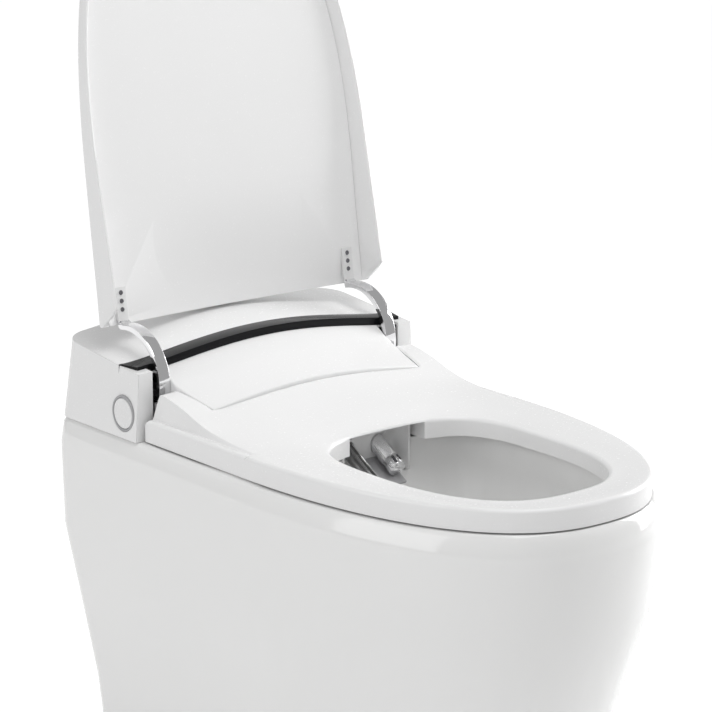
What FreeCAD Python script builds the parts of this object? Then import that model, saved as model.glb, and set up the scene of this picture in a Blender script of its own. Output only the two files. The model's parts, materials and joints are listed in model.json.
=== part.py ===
import FreeCAD, Part
import math
import os

V = FreeCAD.Vector

# Smart toilet with a heated seat. Millimetres, +Z up, the front of the bowl towards -Y.
# Everything is drawn from two datums and moved to the floor frame when it is written:
#   z = 0 is the rim of the ceramic, y = 0 is the front edge of the black accent bar.
# The written frame has its origin at the centre of the waste outlet on the floor.

# ---- place of the datums in the written frame
RIM_HEIGHT = 395.0          # ceramic rim above the floor
BAR_FROM_OUTLET = 145.0     # accent bar's front edge behind the waste outlet

# ---- ceramic pedestal
REAR_Y = 140.0              # back of the pedestal and of the rear unit
REAR_CORNER = 26.0
SKIRT_WALL = 13.0
DECK_THICK = 34.0
DECK_RECESS = 12.0          # the rear unit's tray lies this deep in the deck
RECESS_HALF = 174.0
RECESS_FRONT_Y = -62.0
RECESS_REAR_Y = 122.0
# rounded shoulder under the rim: height, half width, y of the front tip, y of the back
SHOULDER = [
    (0.0, 187.5, -520.5, 137.0),
    (-6.0, 192.2, -526.2, 139.4),
    (-28.0, 196.0, -530.0, 140.0),
]
# skirt below the shoulder, same columns
SKIRT = [
    (-28.0, 196.0, -530.0, 140.0),
    (-66.0, 198.5, -527.5, 140.0),
    (-125.0, 194.0, -514.0, 138.5),
    (-195.0, 181.0, -491.0, 135.0),
    (-290.0, 163.0, -460.0, 131.0),
    (-RIM_HEIGHT, 152.0, -438.0, 128.0),
]
SKIRT_STEPS = 5
SKIRT_SHOULDER_Y = -160.0   # where the straight sides turn into the rounded front
FRONT_POWER = 2.39          # roundness of the front outline (2 is an ellipse)
BOWL_WALL = 12.0
# bowl sections: height, half width, rear y, widest y, front y
BOWL = [
    (1.0, 128.0, -172.0, -310.0, -487.0),
    (-35.0, 131.0, -169.0, -310.0, -490.0),
    (-95.0, 114.0, -181.0, -310.0, -470.0),
    (-150.0, 84.0, -203.0, -310.0, -434.0),
    (-240.0, 34.0, -256.0, -310.0, -352.0),
]
BOWL_POWER = 2.3
TRAP_BORE = 27.0
TRAP_OVERLAP = 15.0         # the trap's straight runs overlap this much at their corners
# centre line of the trap, (y, z): out of the bowl, up to the weir, over it and down to the outlet
TRAP_ROUTE = [(-300.0, -214.0), (-206.0, -240.0), (-148.0, -128.0), (-96.0, -128.0), (-145.0, -345.0)]
# outline of the ceramic round the trap, (y, z)
TRAP_CASING = [(-322.0, -236.0), (-300.0, -266.0), (-250.0, -286.0), (-180.0, -286.0), (-151.0, -215.0),
               (-183.0, -345.0), (-183.0, -385.0), (-107.0, -385.0), (-107.0, -345.0), (-58.0, -140.0),
               (-58.0, -93.0), (-182.0, -93.0), (-182.0, -110.0), (-240.0, -222.0)]
TRAP_CASING_HALF = 36.0
OUTLET_BORE = 40.0          # radius of the waste outlet socket
OUTLET_WALL = 9.0
OUTLET_DEPTH = 60.0
SEAL_WIDTH = 12.0
SEAL_HEIGHT = 10.0
SERVICE_HALF = 105.0        # opening in the back of the skirt for hose and cable
SERVICE_TOP = -70.0
SERVICE_FOOT = 45.0

# ---- seat
SEAT_HALF = 182.8
SEAT_TIP_Y = -520.0
SEAT_SHOULDER_Y = -166.0
SEAT_REAR_Y = -18.0
SEAT_BOTTOM = 2.0
LEDGE_Z = 25.3              # flat ledge along the outer edge
LEDGE_WIDTH = 10.5
SEAT_SKIN = 4.2
SEAT_FLOOR = 2.6
OPENING_HALF = 112.0
OPENING_REAR_Y = -192.0
OPENING_WIDE_Y = -305.0
OPENING_TIP_Y = -472.0
OPENING_POWER = 2.6
# top of the seat along its length: y, height at the sides
SEAT_TOP = [(20.0, 55.0), (-34.0, 52.6), (-65.0, 46.4), (-90.0, 38.6), (-115.0, 32.4), (-150.0, 28.4),
            (-200.0, 26.2), (-280.0, 25.6), (-420.0, 25.6), (-560.0, 25.6)]
SEAT_CROWN = 12.0           # extra height of the seat's middle at the centre panel
SEAT_CROWN_END_Y = -215.0
SEAT_DISH = 4.0             # the seat dips this much towards its opening
NOTCH_HALF = 51.0           # recess under the seat for the spray unit
NOTCH_TOP = 20.6
PANEL_NOTCH_TOP = 49.5      # the wands draw back under the centre panel up to here
SEAM = 1.2                  # gap between seat and fixed parts
SEAT_ROOM_TOP = 17.2        # flat roof of the seat's hollow, just under the dished skin
# side outline (y, z) of the room under the seat's rising rear
SEAT_REAR_ROOM = [(-150.0, 10.0), (-150.0, 22.0), (-115.0, 26.0), (-90.0, 31.0), (-65.0, 39.0), (-40.0, 45.0),
                  (-33.0, 45.0), (-27.0, 22.0), (-30.0, 10.0)]
# side outline (y, z) of the room above the spray unit
SEAT_CENTRE_ROOM = [(-172.0, 1.0), (-172.0, 23.5), (-150.0, 28.6), (-132.0, 32.4), (-115.0, 36.6), (-100.0, 41.1),
                    (-92.0, 43.6), (-80.0, 47.4), (-10.0, 47.4), (-10.0, 1.0)]
HEATER_THICK = 0.8
BUMPER_HEIGHT = 2.0

# ---- rear unit
BAR_HALF_FRONT = 179.0
BAR_HALF_REAR = 186.0
BAR_DEPTH = 24.0
BAR_BOTTOM = 69.6
BAR_THICK = 8.6
ARCH = 17.0                 # rise of the bar, the panel and the cover in the middle
PANEL_HALF_REAR = 148.0
PANEL_HALF_FRONT = 140.0
PANEL_FRONT_Y = -80.5
PANEL_TAPER_Y = -25.0
PANEL_SKIN = 3.0
PANEL_TOP = [(8.0, 74.0), (0.0, 69.3), (-13.0, 61.6), (-25.0, 55.4), (-46.0, 48.4), (-77.0, 39.8), (-90.0, 36.6)]
COVER_HALF = 191.0
COVER_REACH = COVER_HALF + 9.0   # half width of the curved form that gives the cover's top
COVER_HALF_TOP = 183.0
COVER_TOP_Z = 72.6          # height at which the cover's front corners end
EAR_FRONT_Y = -12.0
EAR_INNER = 168.4
COVER_SKIN = 2.8
CHEEK_INNER = 184.6
COVER_RISE = 10.0           # the cover climbs this much from the bar to the back

# ---- lid hinge
PIVOT_Y = 42.0
PIVOT_Z = 55.0
SHAFT_R = 6.0
RUNNING = 0.05
ARM_OUTER_R = 58.0
ARM_THICK = 6.0
ARM_X0 = 148.4
ARM_X1 = 162.0
HUB_R = 11.0
LID_OPEN = 102.4            # degrees from closed to the open stop
LINK_X0 = 162.8
LINK_X1 = 166.8
LINK_INNER_R = 50.5

# ---- lid, drawn closed and then turned open
LID_HALF = 183.0
LID_REAR_Y = -15.0
LID_TIP_Y = -523.0
LID_RIM_Z = 27.4
LID_WALL = 2.8
LID_FOLD = 8.8              # the inner face meets the side walls this far in
LID_SKIN = 2.6
LID_CROWN = 24.0            # the lid's rear edge follows the arch of the accent bar
LID_CROWN_LENGTH = 150.0
LID_CROWN_FRONT = 2.5
# inner height over the rim and thickness of the lid, from the rear edge to the tip
LID_DEPTH = [(10.0, 33.0, 13.6), (-15.0, 31.0, 13.4), (-100.0, 24.4, 11.4), (-180.0, 18.4, 9.6),
             (-290.0, 13.0, 8.0), (-420.0, 10.4, 7.2), (-560.0, 9.4, 6.4)]
LID_REAR_SLANT = 18.0

# ---- side button
BUTTON_Y = 12.7
BUTTON_Z = 27.3
BUTTON_R = 19.5
BUTTON_CAP_R = 16.4
BUTTON_TRAVEL = 2.0
BUTTON_GAP = 0.4
BUTTON_X = -COVER_HALF + 1.4  # outer face of the ring
BUTTON_DEPTH = 9.0
BUTTON_FLOOR = 1.0
CAP_THICK = 3.4
STEM_R = 5.0
SWITCH_HALF = 9.0
SWITCH_DEPTH = 7.0

# ---- spray unit
WAND_X = 20.0
WAND_MOUTH_Y = -157.0
WAND_MOUTH_Z = -8.0
WAND_SLOPE = 31.0
REAR_WAND_R = 8.0
REAR_WAND_OUT = 84.0
FRONT_WAND_R = 9.6
FRONT_WAND_OUT = 36.0
WAND_HELD = 30.0            # length that stays in the guide when a wand is out
WAND_GAP = 0.4
BAY_HALF = 43.5
BAY_FRONT_Y = -177.0
BAY_WALL = 2.6
BAY_TOP = 18.8
BAY_BOTTOM = -34.0
HOUSING_BACK_Y = -74.0      # rear face of the spray unit
NICHE_Y = WAND_MOUTH_Y + 2.0
JET_R = 1.6
SPRAY_HOLE_R = 1.3
REAR_TIP_LENGTH = 16.0
FRONT_TIP_LENGTH = 14.0

# ---- fixing of the rear unit on the deck
TRAY_THICK = 3.0
TRAY_TOP = TRAY_THICK - DECK_RECESS
HATCH_HALF = 30.0           # opening in deck and tray over the flush valve
HATCH_Y0 = 40.0
HATCH_Y1 = 92.0
BOLT_X = 152.0
BOLT_Y = 106.0
BOLT_R = 4.0
BRACKET_X0 = 139.6
BRACKET_X1 = 172.4
DAMPER_R = 14.0
DAMPER_LENGTH = 42.0
SHAFT_INTO_DAMPER = 8.0

# ---- lid hinge plates
PLATE_THICK = 2.6
PLATE_LENGTH = 37.0
SCREW_R = 2.6
SCREW_HEAD = 0.8
SCREW_STEP = 9.0

# ---- back of the rear unit
REAR_COVER_HALF = 140.0
REAR_COVER_TOP = 66.0
COVER_GAP = 0.4
AIR_SLOTS = 9
AIR_SLOT_STEP = 8.0
AIR_SLOT_WIDTH = 3.2
AIR_SLOT_Z = (34.0, 56.0)
INLET_X = 96.0
INLET_Z = 22.0
INLET_R = 10.48             # G1/2 thread, outside
INLET_BORE = 7.0
INLET_OUT = 20.0            # how far the inlet stands out behind the cover
INLET_THREAD = 14.0
INLET_NECK_R = 9.6
VALVE_Y = 129.0             # rear face of the inlet valve
GLAND_X = -104.0
GLAND_Z = 18.0
GLAND_R = 8.0
GLAND_BORE = 3.6
GLAND_NUT_R = 11.0

# ---- dryer
BLOWER_X = -86.0
BLOWER_Y = 84.0
BLOWER_R = 34.0
BLOWER_Z0 = TRAY_TOP
BLOWER_HEIGHT = 34.0

BLOWER_WALL = 2.4
BLOWER_EYE_R = 19.0         # air intake in the top of the fan case
BLOWER_POST_R = 3.0
THROAT_X0 = BLOWER_X + 6.0  # the fan blows forward through this throat
THROAT_X1 = BLOWER_X + BLOWER_R
THROAT_Y = 6.0
WHEEL_LIFT = 5.0
WHEEL_R = 27.0
WHEEL_INNER_R = 19.0
WHEEL_HEIGHT = 19.0
WHEEL_DISC = 1.8
BLADES = 12
BLADE_THICK = 1.4
BLADE_LEAN = 32.0
DUCT_WALL = 1.6
DUCT_HEIGHT = 30.0
DUCT_FRONT_Y = -72.0
DUCT_STEP_Y = -59.0         # in front of this the duct rises over the deck's edge
DUCT_STEP_Z = 2.0
DUCT_OUT_Z = (6.0, 20.0)

# ---- water side of the spray
HEATER_BOX = (30.0, 122.0, 66.0, 106.0)
HEATER_TOP = 34.0
HEATER_ROUND = 5.0
PUMP_X = 38.0
PUMP_Z = 10.0
PUMP_R = 17.0
PUMP_HEAD_R = 12.0
PUMP_Y = (16.0, 42.0)
PUMP_HEAD_Y = 4.0
STUB_X = PUMP_X
STUB_Z = PUMP_Z
STUB_R = 5.0
STUB_LENGTH = 12.0
VALVE_HALF = 14.0
VALVE_FRONT_Y = 107.0
VALVE_Z = (9.0, 40.0)
COIL_Y = 118.0
COIL_R = 9.0
COIL_HEIGHT = 20.0
BOARD_X = (-48.0, 18.0)
BOARD_Y = (-52.0, 22.0)
BOARD_Z = (1.0, 2.6)
HOSE_R = 4.0
HOSE_BORE = 2.6
SUPPLY_R = 3.6
SUPPLY_BORE = 2.2
FIT = 0.2                   # gap between a hose end and its stub

# ---- flush
FLUSH_R = 14.0
FLUSH_BORE = 11.0
FLUSH_VALVE_Y = 66.0
FLUSH_VALVE_R = 26.0


def box(x0, x1, y0, y1, z0, z1):
    return Part.makeBox(x1 - x0, y1 - y0, z1 - z0, V(x0, y0, z0))


def rod(x, y, z, axis, radius, length):
    return Part.makeCylinder(radius, length, V(x, y, z), axis)


def ring(x, y, z, axis, outer, inner, length):
    return rod(x, y, z, axis, outer, length).cut(rod(x, y, z, axis, inner, length))


X = V(1, 0, 0)
Y = V(0, 1, 0)
Z = V(0, 0, 1)


def mirrored(shape):
    return shape.mirror(V(0, 0, 0), X)


def group(shapes):
    return Part.makeCompound(shapes)


def fuse(shapes):
    first = shapes[0]
    for other in shapes[1:]:
        first = first.fuse(other)
    return first.removeSplitter()


def along(table, y, column=1):
    """Smooth reading of a table of sizes given along the length."""
    rows = sorted(table)
    if y <= rows[0][0]:
        return rows[0][column]
    if y >= rows[-1][0]:
        return rows[-1][column]
    count = len(rows)
    slopes = []
    for i in range(count):
        low = rows[max(i - 1, 0)]
        high = rows[min(i + 1, count - 1)]
        slopes.append((high[column] - low[column]) / (high[0] - low[0]))
    for i in range(count - 1):
        y0, y1 = rows[i][0], rows[i + 1][0]
        if y0 <= y <= y1:
            span = y1 - y0
            t = (y - y0) / span
            a, b = rows[i][column], rows[i + 1][column]
            return ((2 * t ** 3 - 3 * t ** 2 + 1) * a + (t ** 3 - 2 * t ** 2 + t) * span * slopes[i]
                    + (3 * t ** 2 - 2 * t ** 3) * b + (t ** 3 - t ** 2) * span * slopes[i + 1])


def arch(x, power=1.5):
    """Rise of the rear unit over its ends: nothing at the ends, ARCH in the middle."""
    share = 1.0 - (x / BAR_HALF_FRONT) ** 2
    return ARCH * max(share, 0.0) ** power


def fade(y, start, end):
    """1 at start, 0 at end, smooth between them."""
    t = min(max((y - start) / (end - start), 0.0), 1.0)
    return 0.5 + 0.5 * math.cos(math.pi * t)


def spline(points, start=None, end=None):
    curve = Part.BSplineCurve()
    if start is None:
        curve.interpolate(Points=points)
    else:
        curve.interpolate(Points=points, InitialTangent=start, FinalTangent=end)
    return curve.toShape()


def nose(half, shoulder_y, tip_y, z, power=FRONT_POWER, steps=14):
    """Rounded front outline from the right side over the tip to the left side."""
    length = shoulder_y - tip_y
    right = []
    for i in range(steps):
        angle = 0.5 * math.pi * i / steps
        x = half * math.cos(angle) ** (2 / power)
        y = shoulder_y - length * math.sin(angle) ** (2 / power)
        right.append(V(x, y, z))
    left = [V(-p.x, p.y, p.z) for p in reversed(right)]
    points = right + [V(0, tip_y, z)] + left
    return [Part.makeLine(a, b) for a, b in zip(points, points[1:])]


def plan(half, rear_y, shoulder_y, tip_y, z, corner=REAR_CORNER, power=FRONT_POWER):
    """Closed outline seen from above: rounded front, straight sides, rounded rear corners."""
    c = corner
    k = c * (1 - math.sqrt(0.5))
    edges = [
        *nose(half, shoulder_y, tip_y, z, power),
        Part.makeLine(V(-half, shoulder_y, z), V(-half, rear_y - c, z)),
        Part.Arc(V(-half, rear_y - c, z), V(-half + k, rear_y - k, z), V(-half + c, rear_y, z)).toShape(),
        Part.makeLine(V(-half + c, rear_y, z), V(half - c, rear_y, z)),
        Part.Arc(V(half - c, rear_y, z), V(half - k, rear_y - k, z), V(half, rear_y - c, z)).toShape(),
        Part.makeLine(V(half, rear_y - c, z), V(half, shoulder_y, z)),
    ]
    return Part.Wire(edges)


def oval(half, rear_y, wide_y, tip_y, z, power, steps=9, rear_power=3.4):
    """Closed outline of a bowl or a seat opening: blunt at the rear, rounder in front."""
    front = []
    back = []
    for i in range(1, steps):
        angle = 0.5 * math.pi * i / steps
        c, s = math.cos(angle), math.sin(angle)
        front.append((half * c ** (2 / power), wide_y - (wide_y - tip_y) * s ** (2 / power)))
        back.append((half * c ** (2 / rear_power), wide_y + (rear_y - wide_y) * s ** (2 / rear_power)))
    right = [(half, wide_y)] + front + [(0.0, tip_y)]
    left = [(-x, y) for x, y in reversed(front)] + [(-half, wide_y)]
    rear = [(-x, y) for x, y in back] + [(0.0, rear_y)] + [(x, y) for x, y in reversed(back)]
    points = [V(x, y, z) for x, y in right + left + rear]
    return Part.makePolygon(points + [points[0]])


def prism(wire, height):
    return Part.Face(wire).extrude(V(0, 0, height))


def under(height, reach, y0, y1, depth, across=13, down=24):
    """Solid below the smooth surface z = height(x, y)."""
    grid = []
    for i in range(down):
        y = y0 + (y1 - y0) * i / (down - 1)
        grid.append([V(-reach + 2 * reach * j / (across - 1), y,
                       height(-reach + 2 * reach * j / (across - 1), y)) for j in range(across)])
    surface = Part.BSplineSurface()
    surface.interpolate(grid)
    solid = surface.toShape().extrude(V(0, 0, -depth))
    if solid.Volume < 0:
        solid.reverse()
    return solid


def turned(shape, degrees):
    """Turn about the common pivot of lid and seat: positive opens."""
    moved = shape.copy()
    moved.rotate(V(0, PIVOT_Y, PIVOT_Z), V(-1, 0, 0), degrees)
    return moved


def at_angle(radius, degrees):
    """Point around the pivot: 0 is behind it, 90 above it, 180 in front of it."""
    a = math.radians(degrees)
    return PIVOT_Y + radius * math.cos(a), PIVOT_Z + radius * math.sin(a)


def sector(x0, x1, inner, outer, start, end):
    """Curved plate around the pivot between two angles."""
    mid = 0.5 * (start + end)
    o0, o1, o2 = [V(x0, *at_angle(outer, a)) for a in (start, mid, end)]
    i0, i1, i2 = [V(x0, *at_angle(inner, a)) for a in (start, mid, end)]
    edges = [Part.Arc(o0, o1, o2).toShape(), Part.makeLine(o2, i2),
             Part.Arc(i2, i1, i0).toShape(), Part.makeLine(i0, o0)]
    return Part.Face(Part.Wire(edges)).extrude(V(x1 - x0, 0, 0))


def side_profile(points, x0, x1):
    """Prism along X from an outline given as (y, z)."""
    corners = [V(x0, y, z) for y, z in points]
    return Part.Face(Part.makePolygon(corners + [corners[0]])).extrude(V(x1 - x0, 0, 0))


# ---------------------------------------------------------------- ceramic

def skirt_wire(z, half, tip, rear, inset):
    return plan(half - inset, rear - inset, SKIRT_SHOULDER_Y, tip + inset, z, REAR_CORNER - 0.5 * inset)


def shoulder():
    return Part.makeLoft([skirt_wire(*row, 0.0) for row in SHOULDER], True, True)


def skirt(inset, top, foot):
    """Body of the pedestal between two heights, read from the skirt's sizes."""
    wires = []
    for i in range(SKIRT_STEPS):
        z = top + (foot - top) * i / (SKIRT_STEPS - 1)
        half, tip, rear = [along(SKIRT, z, column) for column in (1, 2, 3)]
        wires.append(skirt_wire(z, half, tip, rear, inset))
    return Part.makeLoft(wires, True, True)


def bowl():
    """Inside of the bowl."""
    wires = [oval(half, rear, wide, tip, z, BOWL_POWER) for z, half, rear, wide, tip in BOWL]
    return Part.makeLoft(wires, True, True)


def faceted(wires, sides):
    """Straight-sided body through the given outlines, for walls that nobody sees."""
    rings = []
    for wire in wires:
        points = wire.discretize(sides + 1)[:sides]
        rings.append(Part.makePolygon(points + [points[0]]))
    return Part.makeLoft(rings, True, True)


def bowl_outside():
    wires = []
    for z, half, rear, wide, tip in BOWL:
        grown = (half + BOWL_WALL, rear + BOWL_WALL, wide, tip - BOWL_WALL, z - BOWL_WALL)
        wires.append(oval(*grown, BOWL_POWER))
    return faceted(wires, 28)


def skirt_inside():
    """Room inside the skirt, open at the floor."""
    wires = []
    for z in (-DECK_THICK, -110.0, -230.0, -RIM_HEIGHT - 1):
        half, tip, rear = [along(SKIRT, z, column) for column in (1, 2, 3)]
        wires.append(skirt_wire(z, half, tip, rear, SKIRT_WALL))
    return faceted(wires, 44)


def trap_way():
    """Round water way of the trap, in straight runs that overlap at their corners."""
    runs = []
    for (y0, z0), (y1, z1) in zip(TRAP_ROUTE, TRAP_ROUTE[1:]):
        ahead = V(0, y1 - y0, z1 - z0)
        length = ahead.Length + 2 * TRAP_OVERLAP
        ahead.normalize()
        runs.append(Part.makeCylinder(TRAP_BORE, length, V(0, y0, z0) - ahead * TRAP_OVERLAP, ahead))
    return runs


def flush_points():
    """Ends of the straight pipe from the flush valve to the bowl."""
    return V(0, FLUSH_VALVE_Y - FLUSH_VALVE_R - FIT - 1.4, -80), V(0, -156, -64)


def ceramic_pedestal():
    """Hollow skirt, closed deck, bowl, trap and outlet socket in one firing."""
    outlet_y = -BAR_FROM_OUTLET
    foot = -RIM_HEIGHT
    outer = shoulder().fuse(skirt(0.0, SKIRT[0][0], foot))
    hollow = skirt_inside().cut(bowl_outside())
    hollow = hollow.cut(side_profile(TRAP_CASING, -TRAP_CASING_HALF, TRAP_CASING_HALF))
    socket = OUTLET_BORE + OUTLET_WALL
    hollow = hollow.cut(rod(0, outlet_y, foot - 2, Z, socket, OUTLET_DEPTH + OUTLET_WALL + 2))
    body = outer.cut(hollow)
    body = body.cut(bowl())
    for run in trap_way():
        body = body.cut(run)
    body = body.cut(rod(0, outlet_y, foot - 1, Z, OUTLET_BORE, OUTLET_DEPTH + 1))
    body = body.cut(box(-RECESS_HALF, RECESS_HALF, RECESS_FRONT_Y, RECESS_REAR_Y, -DECK_RECESS, 5))
    notch = NOTCH_HALF - 2
    body = body.cut(box(-notch, notch, BAY_FRONT_Y - 16, RECESS_FRONT_Y + 1, BAY_BOTTOM - 2.4, 5))
    body = body.cut(box(-HATCH_HALF, HATCH_HALF, HATCH_Y0, HATCH_Y1, -60, 5))
    body = body.cut(box(-SERVICE_HALF, SERVICE_HALF, 100, REAR_Y + 10, foot + SERVICE_FOOT, SERVICE_TOP))
    for x in (-BOLT_X, BOLT_X):
        body = body.cut(rod(x, BOLT_Y, -60, Z, BOLT_R + 0.6, 60))
    start, end = flush_points()
    ahead = (end - start).normalize()
    body = body.cut(Part.makeCylinder(FLUSH_R + 0.05, 20, end - ahead * 20, ahead))
    return body.cut(Part.makeCylinder(FLUSH_BORE, 40, end - ahead, ahead))


def waste_seal():
    outlet_y = -BAR_FROM_OUTLET
    inner = OUTLET_BORE + OUTLET_WALL
    seal = ring(0, outlet_y, -RIM_HEIGHT, Z, inner + SEAL_WIDTH, inner, SEAL_HEIGHT)
    return seal


def deck_bolts():
    parts = []
    for x in (-BOLT_X, BOLT_X):
        head = rod(x, BOLT_Y, -9.0, Z, 7.5, 5.0)
        shank = rod(x, BOLT_Y, -50.0, Z, BOLT_R, 41.5)
        nut = rod(x, BOLT_Y, -DECK_THICK - 7.0, Z, 8.5, 7.0).cut(rod(x, BOLT_Y, -60, Z, BOLT_R, 40))
        parts += [head.fuse(shank), nut]
    return group(parts)


# ---------------------------------------------------------------- seat

def opening_distance(x, y):
    """1 on the edge of the seat's opening, more outside it."""
    across = abs(x) / OPENING_HALF
    if y < OPENING_WIDE_Y:
        length = OPENING_WIDE_Y - OPENING_TIP_Y
    else:
        length = OPENING_REAR_Y - OPENING_WIDE_Y
    down = abs(y - OPENING_WIDE_Y) / length
    return (across ** 3 + down ** 3) ** (1 / 3)


def seat_height(x, y):
    crown = SEAT_CROWN * fade(y, PANEL_FRONT_Y, SEAT_CROWN_END_Y)
    share = max(1.0 - (x / BAR_HALF_FRONT) ** 2, 0.0)
    lip = max(opening_distance(x, y) - 1.0, -0.3)
    dish = SEAT_DISH * math.exp(-(lip / 0.2) ** 2)
    return along(SEAT_TOP, y) + crown * share ** 2 - dish


def seat_outline(inset, z):
    return plan(SEAT_HALF - inset, SEAT_REAR_Y - inset, SEAT_SHOULDER_Y, SEAT_TIP_Y + inset, z,
                max(9.0 - inset, 4.0))


def seat_opening(extra, z):
    return oval(OPENING_HALF + extra, OPENING_REAR_Y + extra, OPENING_WIDE_Y, OPENING_TIP_Y - extra, z,
                OPENING_POWER)


def panel_plan(extra, z0, z1, front_y=PANEL_FRONT_Y, rear_y=4.0):
    """Tapered plan of the centre panel, larger by extra at its sides and front."""
    rear, front = PANEL_HALF_REAR + extra, PANEL_HALF_FRONT + extra
    y = front_y - extra
    points = [V(-rear, rear_y, z0), V(-rear, PANEL_TAPER_Y, z0), V(-front, y, z0), V(front, y, z0),
              V(rear, PANEL_TAPER_Y, z0), V(rear, rear_y, z0)]
    return Part.Face(Part.makePolygon(points + [points[0]])).extrude(V(0, 0, z1 - z0))


def seat_rear_cut(inset):
    """Space behind the seat's slanting rear ends."""
    y = SEAT_REAR_Y - inset
    return side_profile([(y + 1, 22), (y - 11.0, 56.0), (y - 11.0, 99.0), (60, 99), (60, -5), (y - 8.5, -5)],
                        -200, 200)


def seat_blank():
    """The seat's outer form."""
    bottom = SEAT_BOTTOM
    body = prism(seat_outline(0.0, bottom), 70).common(under(seat_height, 200, -560, 20, 90, 13, 30))
    body = body.cut(prism(seat_opening(0.0, bottom - 1), 90))
    body = body.cut(panel_plan(SEAM, bottom - 1, 95, rear_y=30.0))
    ledge = prism(seat_outline(-5, LEDGE_Z), 60).cut(prism(seat_outline(LEDGE_WIDTH, LEDGE_Z), 60))
    body = body.cut(ledge.common(box(-200, 200, -250, 40, LEDGE_Z, 90)))
    return body.cut(seat_rear_cut(0.0))


def seat_hollow(inset, top_z):
    """Flat-topped room under the seat's skin."""
    low = SEAT_BOTTOM - 1
    room = prism(seat_outline(inset, low), top_z - low)
    room = room.cut(prism(seat_opening(SEAT_SKIN, low - 1), 90))
    room = room.cut(panel_plan(SEAM + SEAT_SKIN, low - 1, 95, rear_y=30.0))
    return room.cut(seat_rear_cut(SEAT_SKIN))


def seat_rear_room():
    """Room under the rising rear of the seat, stepped below its skin."""
    room = side_profile(SEAT_REAR_ROOM, -SEAT_HALF + LEDGE_WIDTH + 6, SEAT_HALF - LEDGE_WIDTH - 6)
    return room.cut(panel_plan(SEAM + SEAT_SKIN, 0, 95, rear_y=30.0))


def seat_top():
    """Upper shell of the seat."""
    body = seat_blank()
    body = body.cut(seat_hollow(SEAT_SKIN, SEAT_ROOM_TOP))
    body = body.cut(seat_rear_room())
    body = body.cut(box(-NOTCH_HALF, NOTCH_HALF, OPENING_REAR_Y - 20, 0, SEAT_BOTTOM - 1, NOTCH_TOP))
    body = body.cut(side_profile(SEAT_CENTRE_ROOM, -NOTCH_HALF, NOTCH_HALF))
    for side in (-1, 1):
        a, b = sorted((side * (LINK_X0 - 0.8), side * (LINK_X1 + 0.8)))
        body = body.cut(box(a, b, -45, 0, SEAT_BOTTOM + 4, 46))
        body = body.cut(box(a, b, -74, -44, SEAT_BOTTOM + 4, 34))
    return body


def seat_bottom():
    gap = 0.3
    plate = prism(seat_outline(SEAT_SKIN + gap, SEAT_BOTTOM), SEAT_FLOOR)
    plate = plate.cut(prism(seat_opening(SEAT_SKIN + gap, SEAT_BOTTOM - 1), SEAT_FLOOR + 2))
    plate = plate.cut(panel_plan(SEAM + SEAT_SKIN + gap, SEAT_BOTTOM - 1, SEAT_BOTTOM + 9, rear_y=30.0))
    plate = plate.cut(box(-NOTCH_HALF - gap, NOTCH_HALF + gap, OPENING_REAR_Y - 20, 0, SEAT_BOTTOM - 1, 20))
    rear_cut = box(-200, 200, -38, 60, SEAT_BOTTOM - 1, 20)
    return plate.cut(rear_cut)


def seat_bumpers():
    pads = []
    for x, y in ((-150, -190), (150, -190), (-126, -420), (126, -420)):
        pads.append(rod(x, y, 0.0, Z, 9.0, BUMPER_HEIGHT))
    return group(pads)


def seat_heater():
    """Heating foil on the roof of the seat's hollow."""
    gap = 1.3
    z = SEAT_ROOM_TOP - HEATER_THICK - 0.1
    foil = prism(seat_outline(LEDGE_WIDTH + SEAT_SKIN + gap, z), HEATER_THICK)
    foil = foil.cut(prism(seat_opening(SEAT_SKIN + gap, z - 1), HEATER_THICK + 2))
    return foil.common(box(-200, 200, -560, OPENING_REAR_Y - 8, 0, 60))


def seat_link(side):
    """Curved plate from the seat to the hinge shaft."""
    plate = sector(LINK_X0, LINK_X1, LINK_INNER_R, ARM_OUTER_R - 1.5, 199, 268)
    spoke_y, spoke_z = at_angle(LINK_INNER_R + 1, 264)
    spoke = side_profile([(PIVOT_Y - 5, PIVOT_Z), (PIVOT_Y + 5, PIVOT_Z), (spoke_y + 5, spoke_z - 1),
                          (spoke_y - 5, spoke_z - 1)], LINK_X0, LINK_X1)
    y0, z0 = at_angle(LINK_INNER_R, 201)
    y1, z1 = at_angle(ARM_OUTER_R - 1.5, 199)
    tongue = side_profile([(y0, z0), (y1 - 1, z1 + 4), (-48, 32.0), (-72, 26.0), (-72, 10.0), (-44, 10.0)],
                          LINK_X0, LINK_X1)
    foot = box(LINK_X0 - 8, LINK_X1, -72, -46, SEAT_BOTTOM + SEAT_FLOOR, SEAT_BOTTOM + SEAT_FLOOR + 6)
    web = box(LINK_X0, LINK_X1, -72, -46, SEAT_BOTTOM + SEAT_FLOOR, 12)
    hub = rod(LINK_X0, PIVOT_Y, PIVOT_Z, X, HUB_R, LINK_X1 - LINK_X0)
    link = fuse([plate, spoke, tongue, foot, web, hub])
    link = link.cut(rod(LINK_X0 - 1, PIVOT_Y, PIVOT_Z, X, SHAFT_R + RUNNING, 20))
    return link if side > 0 else mirrored(link)


# ---------------------------------------------------------------- lid (drawn closed)

def lid_inner_height(x, y):
    t = min(max((LID_REAR_Y - y) / LID_CROWN_LENGTH, 0.0), 1.0)
    crown = (LID_CROWN - LID_CROWN_FRONT) * math.cos(0.5 * math.pi * t) ** 2 + LID_CROWN_FRONT
    share = max(1.0 - (x / (LID_HALF - LID_FOLD)) ** 2, -0.3)
    return LID_RIM_Z + along(LID_DEPTH, y, 1) + crown * share


def lid_outer_height(x, y):
    edge = 3.0 * (abs(x) / LID_HALF) ** 6
    return lid_inner_height(x, y) + along(LID_DEPTH, y, 2) - edge


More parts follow.
